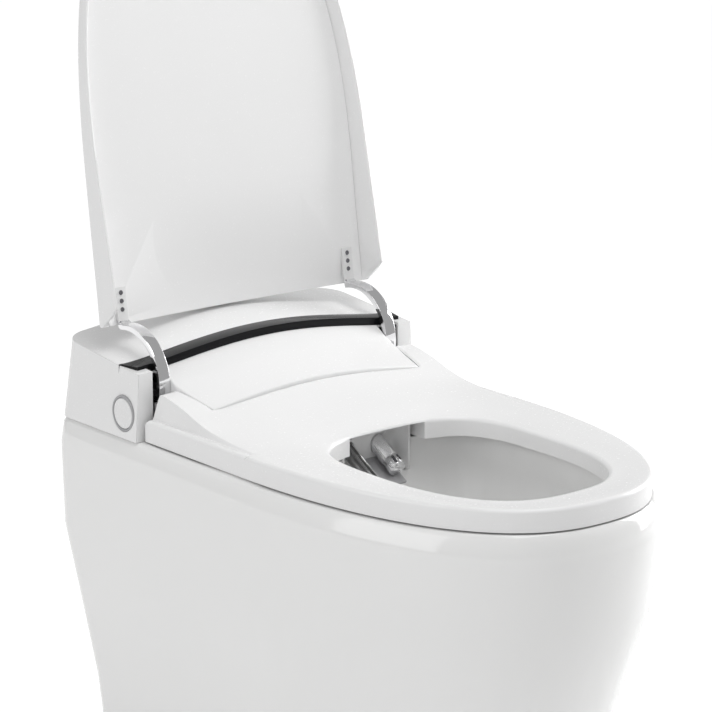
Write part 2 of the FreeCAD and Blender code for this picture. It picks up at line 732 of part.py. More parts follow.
def lid_outline(inset, z, rear_inset=None):
    rear = LID_REAR_Y - (inset if rear_inset is None else rear_inset)
    return plan(LID_HALF - inset, rear, SEAT_SHOULDER_Y, LID_TIP_Y + inset, z, 2.0)


def lid_under(lift, height):
    return under(lambda x, y: height(x, y) + lift, 200, -560, 20, 150, 9, 18)


def lid_pocket():
    """Room inside the lid: drafted side walls, open at the rear."""
    low = lid_outline(LID_WALL, LID_RIM_Z - 1, -40)
    high = lid_outline(LID_FOLD, LID_RIM_Z + 35, -40)
    return Part.makeLoft([low, high], True, True).fuse(prism(lid_outline(LID_FOLD, LID_RIM_Z + 35, -40), 60))


def lid_rear_slant():
    """The side walls' rear ends lean forward towards the rim."""
    y0 = LID_REAR_Y
    return side_profile([(y0 + 60, 0), (y0 - LID_REAR_SLANT - 1.0, 0), (y0 - LID_REAR_SLANT, LID_RIM_Z),
                         (y0, LID_RIM_Z + 31.0), (y0 + 60, LID_RIM_Z + 31.0)], -200, 200)


def lid_outer_closed():
    body = prism(lid_outline(0.0, LID_RIM_Z), 100).common(lid_under(0.0, lid_outer_height))
    body = body.cut(lid_pocket().common(lid_under(LID_SKIN, lid_inner_height)))
    void = prism(lid_outline(LID_FOLD + 3, LID_RIM_Z, 5.0), 100)
    void = void.common(lid_under(-LID_SKIN, lid_outer_height)).cut(lid_under(LID_SKIN, lid_inner_height))
    return body.cut(void).cut(lid_rear_slant())


def lid_inner_closed():
    clear = 0.25
    inner = prism(lid_outline(LID_FOLD + clear + 0.4, LID_RIM_Z, 0.0), 100)
    inner = inner.common(lid_under(LID_SKIN - 0.05, lid_inner_height)).cut(lid_under(0.0, lid_inner_height))
    return inner


def plate_line(drop):
    """Rear and front end (y, z) of a line under the lid's inner face at a hinge plate."""
    ends = []
    for y in (LID_REAR_Y - 9.0, LID_REAR_Y - 3.0 - PLATE_LENGTH):
        ends.append((y, lid_inner_height(ARM_X1, y) - 0.2 - drop))
    return ends


def lid_arm_closed(side):
    """Curved arm from the hinge shaft up to its plate on the lid's inner face."""
    inner = ARM_OUTER_R - ARM_THICK
    arc = sector(ARM_X0, ARM_X1, inner, ARM_OUTER_R, 180, 296)
    spoke_y, spoke_z = at_angle(inner + 1, 292)
    spoke = side_profile([(PIVOT_Y - 6, PIVOT_Z), (PIVOT_Y + 6, PIVOT_Z), (spoke_y + 5, spoke_z + 1),
                          (spoke_y - 5, spoke_z - 1)], ARM_X0, ARM_X1)
    y0, z0 = at_angle(inner, 180)
    rear, front = plate_line(0.0)
    rear_low, front_low = plate_line(PLATE_THICK)
    riser = side_profile([(y0, PIVOT_Z - 1), (y0, rear_low[1] + 1), rear, front, front_low,
                          (y0 - ARM_THICK - 3, rear_low[1]), (y0 - ARM_THICK, PIVOT_Z - 1)], ARM_X0, ARM_X1)
    hub = rod(ARM_X0, PIVOT_Y, PIVOT_Z, X, HUB_R, ARM_X1 - ARM_X0)
    arm = fuse([arc, spoke, riser, hub])
    arm = arm.cut(rod(ARM_X0 - 1, PIVOT_Y, PIVOT_Z, X, SHAFT_R + RUNNING, 30))
    return arm if side > 0 else mirrored(arm)


def lid_screws_closed():
    """Three screw heads on each hinge plate."""
    rear, front = plate_line(PLATE_THICK)
    rear_y = at_angle(ARM_OUTER_R - ARM_THICK, 180)[0] - ARM_THICK - 3
    slope = (rear[1] - front[1]) / (rear_y - front[0])
    axis = V(0, slope, -1).normalize()
    x = 0.5 * (ARM_X0 + ARM_X1)
    screws = []
    for side in (-1, 1):
        for k in range(3):
            y = front[0] + 6.0 + SCREW_STEP * k
            z = front[1] + slope * (y - front[0]) - 0.02
            screws.append(rod(side * x, y, z, axis, SCREW_R, SCREW_HEAD))
    return group(screws)


def lid_bumpers_closed():
    pads = []
    for x, y in ((-100, -440), (100, -440)):
        top = lid_inner_height(x, y)
        pads.append(rod(x, y, LEDGE_Z + 0.6, Z, 7.0, top - LEDGE_Z - 0.6 - 0.2))
    return group(pads)


# ---------------------------------------------------------------- rear unit

def bar_slab(extra, lift, thick):
    """Slab with the accent bar's plan and arch."""
    y0, y1 = -extra, BAR_DEPTH + extra
    front, rear = BAR_HALF_FRONT + extra, BAR_HALF_REAR + extra
    points = [V(-front, y0, 40), V(front, y0, 40), V(rear, y1, 40), V(-rear, y1, 40)]
    block = Part.Face(Part.makePolygon(points + [points[0]])).extrude(V(0, 0, 90))
    top = under(lambda x, y: BAR_BOTTOM + lift + thick + arch(x), 200, -10, 40, 60, 15, 2)
    low = under(lambda x, y: BAR_BOTTOM + lift + arch(x), 200, -10, 40, 90, 15, 2)
    return block.common(top).cut(low)


def accent_bar():
    return bar_slab(0.0, 0.0, BAR_THICK)


def panel_height(x, y):
    return along(PANEL_TOP, y) + arch(x, 1.5)


def centre_panel():
    outer = panel_plan(0.0, 3.0, 110, rear_y=3.0)
    top = under(lambda x, y: panel_height(x, y) - 0.05, 200, -100, 10, 110, 17, 16)
    body = outer.common(top)
    inner = panel_plan(-PANEL_SKIN, 2.0, 110, rear_y=20.0)
    low = under(lambda x, y: panel_height(x, y) - PANEL_SKIN, 200, -100, 10, 110, 17, 16)
    body = body.cut(inner.common(low)).cut(bar_slab(0.3, -0.3, 30))
    return body.cut(box(-NOTCH_HALF, NOTCH_HALF, PANEL_FRONT_Y - 5, -70, 0, PANEL_NOTCH_TOP))


def cover_height(x, y):
    return BAR_BOTTOM + BAR_THICK - 0.9 + COVER_RISE * min(max((y - BAR_DEPTH) / 95.0, -0.3), 1.3) + arch(x)


def cover_blank(inset):
    low = plan_box(COVER_HALF - inset, REAR_Y - inset, EAR_FRONT_Y + inset, 0.3 if inset == 0 else -1.0)
    high = plan_box(COVER_HALF_TOP - inset, REAR_Y - 14 - inset, EAR_FRONT_Y + inset, 120.0)
    return Part.makeLoft([low, high], True, True)


def plan_box(half, rear_y, front_y, z):
    c = REAR_CORNER
    k = c * (1 - math.sqrt(0.5))
    edges = [
        Part.makeLine(V(half, front_y, z), V(-half, front_y, z)),
        Part.makeLine(V(-half, front_y, z), V(-half, rear_y - c, z)),
        Part.Arc(V(-half, rear_y - c, z), V(-half + k, rear_y - k, z), V(-half + c, rear_y, z)).toShape(),
        Part.makeLine(V(-half + c, rear_y, z), V(half - c, rear_y, z)),
        Part.Arc(V(half - c, rear_y, z), V(half - k, rear_y - k, z), V(half, rear_y - c, z)).toShape(),
        Part.makeLine(V(half, rear_y - c, z), V(half, front_y, z)),
    ]
    return Part.Wire(edges)


def cheek(side):
    """Side wall in front of an ear: runs down into a thin lip beside the seat."""
    slope = (COVER_HALF - COVER_HALF_TOP) / 120.0
    edges = [
        Part.makeLine(V(0, EAR_FRONT_Y + 2, COVER_TOP_Z - 3.5), V(0, EAR_FRONT_Y + 0.6, COVER_TOP_Z - 3.5)),
        spline([V(0, EAR_FRONT_Y + 0.6, COVER_TOP_Z - 3.5), V(0, -17, 50), V(0, -23, 25), V(0, -38, 5.2),
                V(0, -98, 1.2)], V(0, -0.1, -1), V(0, -1, 0)),
        Part.makeLine(V(0, -98, 1.2), V(0, -98, 0.3)),
        Part.makeLine(V(0, -98, 0.3), V(0, EAR_FRONT_Y + 2, 0.3)),
        Part.makeLine(V(0, EAR_FRONT_Y + 2, 0.3), V(0, EAR_FRONT_Y + 2, COVER_TOP_Z - 3.5)),
    ]
    wall = Part.Face(Part.Wire(edges)).extrude(V(COVER_HALF, 0, 0))
    wall = wall.common(side_slab(slope))
    return wall if side > 0 else mirrored(wall)


def side_slab(slope):
    """Thin upright slab that follows the cover's outer side."""
    z1 = 80.0
    points = [V(CHEEK_INNER, -110, 0), V(COVER_HALF, -110, 0), V(COVER_HALF - slope * z1, -110, z1),
              V(CHEEK_INNER, -110, z1)]
    return Part.Face(Part.makePolygon(points + [points[0]])).extrude(V(0, 120, 0))


def housing_shell():
    body = cover_blank(0.0).common(under(cover_height, COVER_REACH, -20, 150, 130, 17, 12))
    inner = cover_blank(COVER_SKIN).common(
        under(lambda x, y: cover_height(x, y) - COVER_SKIN, COVER_REACH, -20, 150, 130, 17, 12))
    body = body.cut(inner)
    body = body.cut(bar_slab(0.25, -0.25, BAR_THICK + 30))
    body = body.cut(box(-EAR_INNER, EAR_INNER, EAR_FRONT_Y - 5, EAR_FRONT_Y + 8, -5, 120))
    body = body.cut(box(-EAR_INNER, EAR_INNER, EAR_FRONT_Y - 5, 1.0, -5, 120))
    shelf = bar_slab(-0.5, -2.6, 2.4)
    body = body.fuse(shelf.cut(box(-PANEL_HALF_REAR - 1, PANEL_HALF_REAR + 1, -5, 4.0, 0, 120)))
    for side in (-1, 1):
        body = body.fuse(cheek(side))
    inner_x = -COVER_HALF - 5
    body = body.cut(rod(inner_x, BUTTON_Y, BUTTON_Z, X, BUTTON_R + 0.2, 16))
    body = body.cut(box(-REAR_COVER_HALF, REAR_COVER_HALF, REAR_Y - 30, REAR_Y + 10, -1, REAR_COVER_TOP))
    return body


def rear_cover():
    """Back plate with the holes for water and mains and a field of air slots."""
    half = REAR_COVER_HALF - COVER_GAP
    y0, y1 = REAR_Y - 30, REAR_Y + 5
    plate = cover_blank(0.0).cut(cover_blank(COVER_SKIN))
    plate = plate.common(box(-half, half, y0, y1, 0.3, REAR_COVER_TOP - COVER_GAP))
    plate = plate.cut(rod(INLET_X, y0, INLET_Z, Y, INLET_R + 0.3, 60))
    plate = plate.cut(rod(GLAND_X, y0, GLAND_Z, Y, GLAND_R + 0.1, 60))
    first = -0.5 * AIR_SLOT_STEP * (AIR_SLOTS - 1) - 0.5 * AIR_SLOT_WIDTH
    for k in range(AIR_SLOTS):
        x = first + AIR_SLOT_STEP * k
        plate = plate.cut(box(x, x + AIR_SLOT_WIDTH, y0, y1, *AIR_SLOT_Z))
    return plate


def base_tray():
    """Floor of the rear unit, lying in the recess of the ceramic deck."""
    gap = 0.6
    z0 = -DECK_RECESS
    plate = box(-RECESS_HALF + gap, RECESS_HALF - gap, RECESS_FRONT_Y + gap, RECESS_REAR_Y - gap, z0, z0 + 3)
    plate = plate.cut(box(-HATCH_HALF, HATCH_HALF, HATCH_Y0, HATCH_Y1, z0 - 1, z0 + 5))
    for x in (-BOLT_X, BOLT_X):
        plate = plate.cut(rod(x, BOLT_Y, z0 - 1, Z, BOLT_R + 0.3, 10))
    return plate


def hinge_bracket(side):
    """Steel bracket that holds the fixed hinge shaft on both sides of the arms."""
    inner0, inner1 = BRACKET_X0, BRACKET_X0 + 4.6
    outer0, outer1 = BRACKET_X1 - 2.8, BRACKET_X1
    profile = [(PIVOT_Y - 16, TRAY_TOP), (PIVOT_Y + 44, TRAY_TOP), (PIVOT_Y + 12, PIVOT_Z + 6),
               (PIVOT_Y + 6, PIVOT_Z + 11), (PIVOT_Y - 6, PIVOT_Z + 11), (PIVOT_Y - 12, PIVOT_Z + 6)]
    inner = side_profile(profile, inner0, inner1)
    low = [(PIVOT_Y - 16, 0.5)] + [(PIVOT_Y + 30, 0.5)] + profile[2:]
    outer = side_profile(low, outer0, outer1)
    foot = box(inner0 - 16, inner1, PIVOT_Y - 16, PIVOT_Y + 44, TRAY_TOP, TRAY_TOP + 3)
    bridge = box(inner0, outer1, PIVOT_Y + 32, PIVOT_Y + 44, TRAY_TOP, TRAY_TOP + 3)
    rise = box(outer0, outer1, PIVOT_Y + 26, PIVOT_Y + 44, TRAY_TOP, 4.0)
    bracket = fuse([inner, outer, foot, bridge, rise])
    bracket = bracket.cut(rod(130, PIVOT_Y, PIVOT_Z, X, SHAFT_R, 50))
    return bracket if side > 0 else mirrored(bracket)


def hinge_shafts():
    start = BRACKET_X0 - SHAFT_INTO_DAMPER
    shaft = rod(start, PIVOT_Y, PIVOT_Z, X, SHAFT_R, BRACKET_X1 + 0.8 - start)
    return group([shaft, mirrored(shaft)])


def lid_damper():
    return mirrored(damper())


def seat_damper():
    return damper()


def damper():
    """Geared damper motor on the inner end of a hinge shaft."""
    x1 = BRACKET_X0
    case = rod(x1 - DAMPER_LENGTH, PIVOT_Y, PIVOT_Z, X, DAMPER_R, DAMPER_LENGTH)
    flange = box(x1 - 2.8, x1, PIVOT_Y - 15, PIVOT_Y + 15, PIVOT_Z - 20, PIVOT_Z + 10)
    socket = rod(x1 - SHAFT_INTO_DAMPER, PIVOT_Y, PIVOT_Z, X, SHAFT_R, SHAFT_INTO_DAMPER + 1)
    return fuse([case, flange]).cut(socket)


# ---------------------------------------------------------------- side button

def button_seat():
    """Grey ring pressed into the side of the cover, with a floor that guides the button's stem."""
    outer = rod(BUTTON_X, BUTTON_Y, BUTTON_Z, X, BUTTON_R, BUTTON_DEPTH)
    well = rod(BUTTON_X - 1, BUTTON_Y, BUTTON_Z, X, BUTTON_CAP_R + BUTTON_GAP, BUTTON_DEPTH - BUTTON_FLOOR + 1)
    guide = rod(BUTTON_X, BUTTON_Y, BUTTON_Z, X, STEM_R + BUTTON_GAP, BUTTON_DEPTH + 3)
    return outer.cut(well).cut(guide)


def button_cap():
    """Round push button with its stem."""
    x0 = BUTTON_X - 0.4
    cap = rod(x0, BUTTON_Y, BUTTON_Z, X, BUTTON_CAP_R, CAP_THICK)
    stem = rod(x0 + CAP_THICK, BUTTON_Y, BUTTON_Z, X, STEM_R, BUTTON_DEPTH - CAP_THICK - 0.2)
    return fuse([cap, stem])


def button_switch():
    """Switch block behind the button."""
    x0 = BUTTON_X + BUTTON_DEPTH
    half = SWITCH_HALF
    body = box(x0, x0 + SWITCH_DEPTH, BUTTON_Y - half, BUTTON_Y + half, BUTTON_Z - half, BUTTON_Z + half)
    pocket = rod(x0 - 1, BUTTON_Y, BUTTON_Z, X, STEM_R + BUTTON_GAP, BUTTON_TRAVEL + 1.2)
    return body.cut(pocket)


# ---------------------------------------------------------------- spray unit

def along_wand(x, distance, offset=0.0):
    """Point on a wand's axis: distance out of its mouth, offset square to it."""
    a = math.radians(WAND_SLOPE)
    return V(x, WAND_MOUTH_Y - distance * math.cos(a) - offset * math.sin(a),
             WAND_MOUTH_Z - distance * math.sin(a) + offset * math.cos(a))


def wand_axis():
    a = math.radians(WAND_SLOPE)
    return V(0, -math.cos(a), -math.sin(a))


def wand_up():
    """Direction square to the wands, in their upright plane."""
    return along_wand(0, 0, 1) - along_wand(0, 0, 0)


def wand_rod(x, start, end, radius):
    return Part.makeCylinder(radius, end - start, along_wand(x, start), wand_axis())


def rear_wand():
    return wand_rod(-WAND_X, -WAND_HELD, REAR_WAND_OUT - REAR_TIP_LENGTH, REAR_WAND_R)


def rear_wand_tip():
    """Blunt tip of the slim wand with one jet on its upper side."""
    end = REAR_WAND_OUT
    tip = wand_rod(-WAND_X, end - REAR_TIP_LENGTH, end, REAR_WAND_R)
    blunt = Part.makeCone(REAR_WAND_R, REAR_WAND_R - 3, 4.0, along_wand(-WAND_X, end), wand_axis())
    tip = tip.fuse(blunt)
    return tip.cut(Part.makeCylinder(JET_R, REAR_WAND_R, along_wand(-WAND_X, end - 5, 3), wand_up()))


def front_wand():
    return wand_rod(WAND_X, -WAND_HELD, FRONT_WAND_OUT - FRONT_TIP_LENGTH, FRONT_WAND_R)


def front_wand_tip():
    """Flat tip of the wide wand with four jets on its upper side."""
    end = FRONT_WAND_OUT
    tip = wand_rod(WAND_X, end - FRONT_TIP_LENGTH, end, FRONT_WAND_R)
    for shift in (-3.6, 3.6):
        for back in (9.0, 4.0):
            jet = Part.makeCylinder(SPRAY_HOLE_R, 8, along_wand(WAND_X + shift, end - back, 5), wand_up())
            tip = tip.cut(jet)
    return tip


def spray_housing():
    """White box at the rear of the bowl that guides both wands and carries the warm air outlet."""
    half = BAY_HALF + BAY_WALL
    back = HOUSING_BACK_Y
    outer = side_profile([(BAY_FRONT_Y, BAY_BOTTOM), (BAY_FRONT_Y, BAY_TOP), (-146, BAY_TOP), (-92, 40.0),
                          (back, 40.0), (back, 8.0), (-100, BAY_BOTTOM)], -half, half)
    outer = outer.cut(box(-BAY_HALF, BAY_HALF, BAY_FRONT_Y - 5, NICHE_Y, BAY_BOTTOM + 8, BAY_TOP - BAY_WALL))
    for x, radius in ((-WAND_X, REAR_WAND_R), (WAND_X, FRONT_WAND_R)):
        outer = outer.cut(wand_rod(x, -130, 40, radius + WAND_GAP))
    left = -BAY_HALF
    outer = outer.cut(box(left + 3, left + 28, NICHE_Y - 1, NICHE_Y + 9, BAY_TOP - 14, BAY_TOP - 3.2))
    outer = outer.cut(box(left + 2, left + 14, NICHE_Y - 1, back + 4, BAY_TOP - 12, BAY_TOP - 3.2))
    outer = outer.cut(box(left + 20, BAY_HALF, BAY_FRONT_Y - 5, NICHE_Y, BAY_BOTTOM - 1, 0))
    foot = box(-10, 30, back, RECESS_FRONT_Y + 8, TRAY_TOP, TRAY_TOP + 3)
    foot = foot.fuse(box(-10, 30, back - 2, back + 1, TRAY_TOP, 12))
    return outer.fuse(foot.cut(wand_rod(-WAND_X, -130, 40, REAR_WAND_R + WAND_GAP)))


def wand_tray():
    """Grey drip guide between the wands."""
    top = -FRONT_WAND_R - 1.5
    a, b = along_wand(0, 2, top), along_wand(0, 46, top)
    c, d = along_wand(0, 46, top - 2.5), along_wand(0, 2, top - 2.5)
    tray = side_profile([(a.y, a.z), (b.y, b.z), (c.y, c.z), (d.y, d.z)], -7.0, 30.0)
    return tray.common(box(-50, 50, -260, NICHE_Y - 0.05, -90, 50))


def wand_drives():
    """Two geared stepper motors that push the wands."""
    drives = []
    for x in (BAY_HALF + 4, BAY_HALF + 23):
        gearbox = box(x, x + 6, -60, -42, TRAY_TOP, TRAY_TOP + 24)
        motor = rod(x + 6, -51, TRAY_TOP + 12, X, 9.0, 11.0)
        drives.append(gearbox.fuse(motor))
    return group(drives)


# ---------------------------------------------------------------- inside the rear unit

def dryer_blower():
    """Fan case with a forward throat, an intake in its top and a post for the wheel."""
    z0, z1 = BLOWER_Z0, BLOWER_Z0 + BLOWER_HEIGHT
    wall = BLOWER_WALL
    outer = rod(BLOWER_X, BLOWER_Y, z0, Z, BLOWER_R, BLOWER_HEIGHT)
    outer = outer.fuse(box(THROAT_X0, THROAT_X1, THROAT_Y, BLOWER_Y, z0, z1))
    inner = rod(BLOWER_X, BLOWER_Y, z0 + wall, Z, BLOWER_R - wall, BLOWER_HEIGHT - 2 * wall)
    inner = inner.fuse(box(THROAT_X0 + wall, THROAT_X1 - wall, 0.0, BLOWER_Y, z0 + wall, z1 - wall))
    body = outer.cut(inner)
    body = body.cut(rod(BLOWER_X, BLOWER_Y, z1 - 2 * wall, Z, BLOWER_EYE_R, 4 * wall))
    post = rod(BLOWER_X, BLOWER_Y, z0 + wall, Z, BLOWER_POST_R, BLOWER_HEIGHT - 4 * wall)
    return body.fuse(post)


def blower_wheel():
    """Fan wheel with leaning blades between a disc and a rim."""
    z0 = BLOWER_Z0 + WHEEL_LIFT
    hub = rod(BLOWER_X, BLOWER_Y, z0, Z, 8.0, WHEEL_HEIGHT - 2.0)
    disc = rod(BLOWER_X, BLOWER_Y, z0, Z, WHEEL_R, WHEEL_DISC)
    half = 0.5 * BLADE_THICK
    middle = 0.5 * (WHEEL_INNER_R + WHEEL_R)
    blades = []
    for k in range(BLADES):
        blade = box(BLOWER_X + WHEEL_INNER_R, BLOWER_X + WHEEL_R, BLOWER_Y - half, BLOWER_Y + half,
                    z0, z0 + WHEEL_HEIGHT)
        blade.rotate(V(BLOWER_X + middle, BLOWER_Y, 0), Z, BLADE_LEAN)
        blade.rotate(V(BLOWER_X, BLOWER_Y, 0), Z, 360 / BLADES * k)
        blades.append(blade)
    rim = ring(BLOWER_X, BLOWER_Y, z0 + WHEEL_HEIGHT - 0.8, Z, WHEEL_R + 1.5, WHEEL_INNER_R + 2.0, 1.6)
    wheel = fuse([hub, disc] + blades + [rim])
    return wheel.cut(rod(BLOWER_X, BLOWER_Y, z0 - 1, Z, BLOWER_POST_R + RUNNING, 40))


def dryer_duct():
    """Flat duct from the blower to the outlet over the left wand."""
    wall = DUCT_WALL
    top = TRAY_TOP + DUCT_HEIGHT
    low, high = DUCT_OUT_Z
    y1 = THROAT_Y - FIT
    side_in = [(y1, TRAY_TOP), (y1, top), (DUCT_FRONT_Y, top), (DUCT_FRONT_Y, DUCT_STEP_Z),
               (DUCT_STEP_Y, DUCT_STEP_Z), (DUCT_STEP_Y, TRAY_TOP)]
    run = side_profile(side_in, THROAT_X0, THROAT_X1)
    run = run.fuse(box(THROAT_X0, -BAY_HALF + 26, DUCT_FRONT_Y - wall, DUCT_STEP_Y + 1, low, high))
    x0, x1 = THROAT_X0 + wall, THROAT_X1 - wall
    inner = box(x0, x1, DUCT_STEP_Y + 3, 20, TRAY_TOP + wall, top - wall)
    inner = inner.fuse(box(x0, x1, DUCT_FRONT_Y + 2, DUCT_STEP_Y + 4, DUCT_STEP_Z + wall, top - wall))
    inner = inner.fuse(box(x0, -BAY_HALF + 24, -80, DUCT_STEP_Y - 1, low + wall, high - wall))
    return run.cut(inner)


def water_heater():
    """Small hot water tank with its outlet stub."""
    tank = box(*HEATER_BOX, TRAY_TOP, HEATER_TOP)
    upright = [e for e in tank.Edges if abs(e.Vertexes[0].Z - e.Vertexes[1].Z) > 1]
    tank = tank.makeFillet(HEATER_ROUND, upright)
    front = HEATER_BOX[2]
    stub = rod(STUB_X, front, STUB_Z, V(0, -1, 0), STUB_R, STUB_LENGTH)
    return tank.fuse(stub).cut(rod(STUB_X, front + 4, STUB_Z, V(0, -1, 0), STUB_R - 2, STUB_LENGTH + 8))


def inlet_valve():
    """Solenoid valve behind the inlet thread."""
    z0, z1 = VALVE_Z
    body = box(INLET_X - VALVE_HALF, INLET_X + VALVE_HALF, VALVE_FRONT_Y, VALVE_Y, z0, z1)
    body = body.fuse(rod(INLET_X, COIL_Y, z1, Z, COIL_R, COIL_HEIGHT))
    return body.fuse(box(INLET_X - 12, INLET_X + 12, VALVE_FRONT_Y, RECESS_REAR_Y - 4, TRAY_TOP, z0))


def inlet_nipple():
    """Threaded water inlet with its plain neck through the cover."""
    end = REAR_Y + INLET_OUT
    neck = rod(INLET_X, VALVE_Y, INLET_Z, Y, INLET_NECK_R, end - INLET_THREAD - VALVE_Y)
    thread = rod(INLET_X, end - INLET_THREAD, INLET_Z, Y, INLET_R, INLET_THREAD)
    return neck.fuse(thread).cut(rod(INLET_X, VALVE_Y, INLET_Z, Y, INLET_BORE, 60))


def cable_gland():
    """Entry of the mains cord: sleeve and six-sided nut."""
    y0 = REAR_Y - 10.0
    sleeve = rod(GLAND_X, y0, GLAND_Z, Y, GLAND_R, 10.2)
    corners = []
    for k in range(7):
        a = math.radians(60 * k)
        corners.append(V(GLAND_X + GLAND_NUT_R * math.cos(a), REAR_Y + 0.2, GLAND_Z + GLAND_NUT_R * math.sin(a)))
    nut = Part.Face(Part.makePolygon(corners)).extrude(V(0, 10, 0))
    return sleeve.fuse(nut).cut(rod(GLAND_X, y0 - 1, GLAND_Z, Y, GLAND_BORE, 40))


def spray_pump():
    """Pump for the spray, lying along the tray."""
    y0, y1 = PUMP_Y
    body = rod(PUMP_X, y0, PUMP_Z, Y, PUMP_R, y1 - y0)
    foot = box(PUMP_X - 14, PUMP_X + 14, y0, y1, TRAY_TOP, 0.0)
    head = rod(PUMP_X, PUMP_HEAD_Y, PUMP_Z, Y, PUMP_HEAD_R, y0 - PUMP_HEAD_Y)
    return fuse([body, foot, head])


def control_board():
    """Board on four posts with its larger components."""
    z0, z1 = BOARD_Z
    board = box(BOARD_X[0], BOARD_X[1], BOARD_Y[0], BOARD_Y[1], z0, z1)
    chips = [box(-40, -22, -30, -12, z1, 5.0), box(-14, 2, -36, -20, z1, 6.0), box(-44, -34, 4, 16, z1, 12.0),
             box(2, 14, -8, 12, z1, 9.0)]
    posts = []
    for x in (BOARD_X[0] + 4, BOARD_X[1] - 4):
        for y in (BOARD_Y[0] + 4, BOARD_Y[1] - 4):
            posts.append(box(x - 3, x + 3, y - 3, y + 3, TRAY_TOP, z0))
    return fuse([board] + chips + posts)


def power_unit():
    case = box(-52.0, 22.0, 106.0, 120.0, TRAY_TOP, 30.0)
    return case


def deodoriser():
    """Fan and carbon cartridge beside the spray unit."""
    case = box(70.0, 118.0, -40.0, 0.0, TRAY_TOP, 26.0)
    spout = box(52.0, 70.0, -36.0, -20.0, 2.0, 16.0)
    return case.fuse(spout)


def spray_hose():
    """Water hose from pump to spray unit."""
    start = PUMP_HEAD_Y - FIT
    length = start - HOUSING_BACK_Y - FIT
    return ring(PUMP_X, start, PUMP_Z + 3.0, V(0, -1, 0), HOSE_R, HOSE_BORE, length)


def supply_hose():
    """Water hose from heater tank to pump."""
    start = PUMP_Y[1] + FIT
    length = HEATER_BOX[2] - STUB_LENGTH - FIT - start
    return ring(STUB_X, start, STUB_Z, Y, SUPPLY_R, SUPPLY_BORE, length)


def flush_valve():
    """Flush valve hung under the deck in the service space."""
    top = -DECK_THICK
    body = rod(0.0, FLUSH_VALVE_Y, -112.0, Z, FLUSH_VALVE_R, 112.0 + top)
    flange = box(-48, 48, HATCH_Y0, HATCH_Y1, top - 6, top)
    inlet = rod(0.0, FLUSH_VALVE_Y, -74.0, Y, 9.0, 44.0)
    return fuse([body, flange, inlet])


def flush_pipe():
    """Straight pipe from the flush valve to the rear of the bowl."""
    start, end = flush_points()
    ahead = end - start
    length = ahead.Length
    pipe_wall = Part.makeCylinder(FLUSH_R, length, start, ahead)
    return pipe_wall.cut(Part.makeCylinder(FLUSH_BORE, length, start, ahead))


NODES = {
    "ceramic_pedestal": ceramic_pedestal,
    "waste_seal": waste_seal,
    "deck_bolts": deck_bolts,
    "base_tray": base_tray,
    "housing_shell": housing_shell,
    "rear_cover": rear_cover,
    "accent_bar": accent_bar,
    "centre_panel": centre_panel,
    "hinge_bracket_left": lambda: hinge_bracket(-1),
    "hinge_bracket_right": lambda: hinge_bracket(1),
    "hinge_shafts": hinge_shafts,
    "lid_damper": lid_damper,
    "seat_damper": seat_damper,
    "button_ring": button_seat,
    "button_cap": button_cap,
    "button_switch": button_switch,
    "spray_housing": spray_housing,
    "wand_tray": wand_tray,
    "wand_drives": wand_drives,
    "rear_wand": rear_wand,
    "rear_wand_tip": rear_wand_tip,
    "front_wand": front_wand,
    "front_wand_tip": front_wand_tip,
    "dryer_blower": dryer_blower,
    "blower_wheel": blower_wheel,
    "dryer_duct": dryer_duct,
    "water_heater": water_heater,
    "inlet_valve": inlet_valve,
    "inlet_nipple": inlet_nipple,
    "cable_gland": cable_gland,
    "spray_pump": spray_pump,
    "control_board": control_board,
    "power_unit": power_unit,
    "deodoriser": deodoriser,
    "spray_hose": spray_hose,
    "supply_hose": supply_hose,
    "flush_valve": flush_valve,
    "flush_pipe": flush_pipe,
    "seat_top": seat_top,
    "seat_bottom": seat_bottom,
    "seat_heater": seat_heater,
    "seat_bumpers": seat_bumpers,
    "seat_link_left": lambda: seat_link(-1),
    "seat_link_right": lambda: seat_link(1),
    "lid_outer": lambda: turned(lid_outer_closed(), LID_OPEN),
    "lid_inner": lambda: turned(lid_inner_closed(), LID_OPEN),
    "lid_arm_left": lambda: turned(lid_arm_closed(-1), LID_OPEN),
    "lid_arm_right": lambda: turned(lid_arm_closed(1), LID_OPEN),
    "lid_screws": lambda: turned(lid_screws_closed(), LID_OPEN),
    "lid_bumpers": lambda: turned(lid_bumpers_closed(), LID_OPEN),
}


def main():
    os.makedirs("parts", exist_ok=True)
    for name, make in NODES.items():
        shape = make()
        shape.translate(V(0, BAR_FROM_OUTLET, RIM_HEIGHT))
        box_now = shape.BoundBox
        print("%-20s solids %d valid %s volume %.0f  x %.1f..%.1f y %.1f..%.1f z %.1f..%.1f" % (
            name, len(shape.Solids), shape.isValid(), shape.Volume, box_now.XMin, box_now.XMax,
            box_now.YMin, box_now.YMax, box_now.ZMin, box_now.ZMax))
        shape.exportStep("parts/%s.step" % name)


main()
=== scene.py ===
import json
import math

import bmesh
import bpy
import numpy as np
from mathutils import Matrix, Vector


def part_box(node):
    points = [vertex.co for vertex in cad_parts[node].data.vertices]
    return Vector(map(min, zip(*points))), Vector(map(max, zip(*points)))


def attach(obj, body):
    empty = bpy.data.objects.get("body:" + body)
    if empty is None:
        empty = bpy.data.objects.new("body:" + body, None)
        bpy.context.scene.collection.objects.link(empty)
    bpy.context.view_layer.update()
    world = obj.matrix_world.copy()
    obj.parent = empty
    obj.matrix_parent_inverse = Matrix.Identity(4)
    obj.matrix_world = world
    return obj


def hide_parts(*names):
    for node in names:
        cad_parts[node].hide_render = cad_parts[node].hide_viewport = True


bl_info = {
    "name": "Heated Seat Toilet",
    "version": (1, 0, 0),
    "blender": (4, 5, 0),
    "location": "3D View > Sidebar > Toilet",
    "description": "Builds the finished looks of a smart toilet with a heated seat",
    "category": "Object",
}

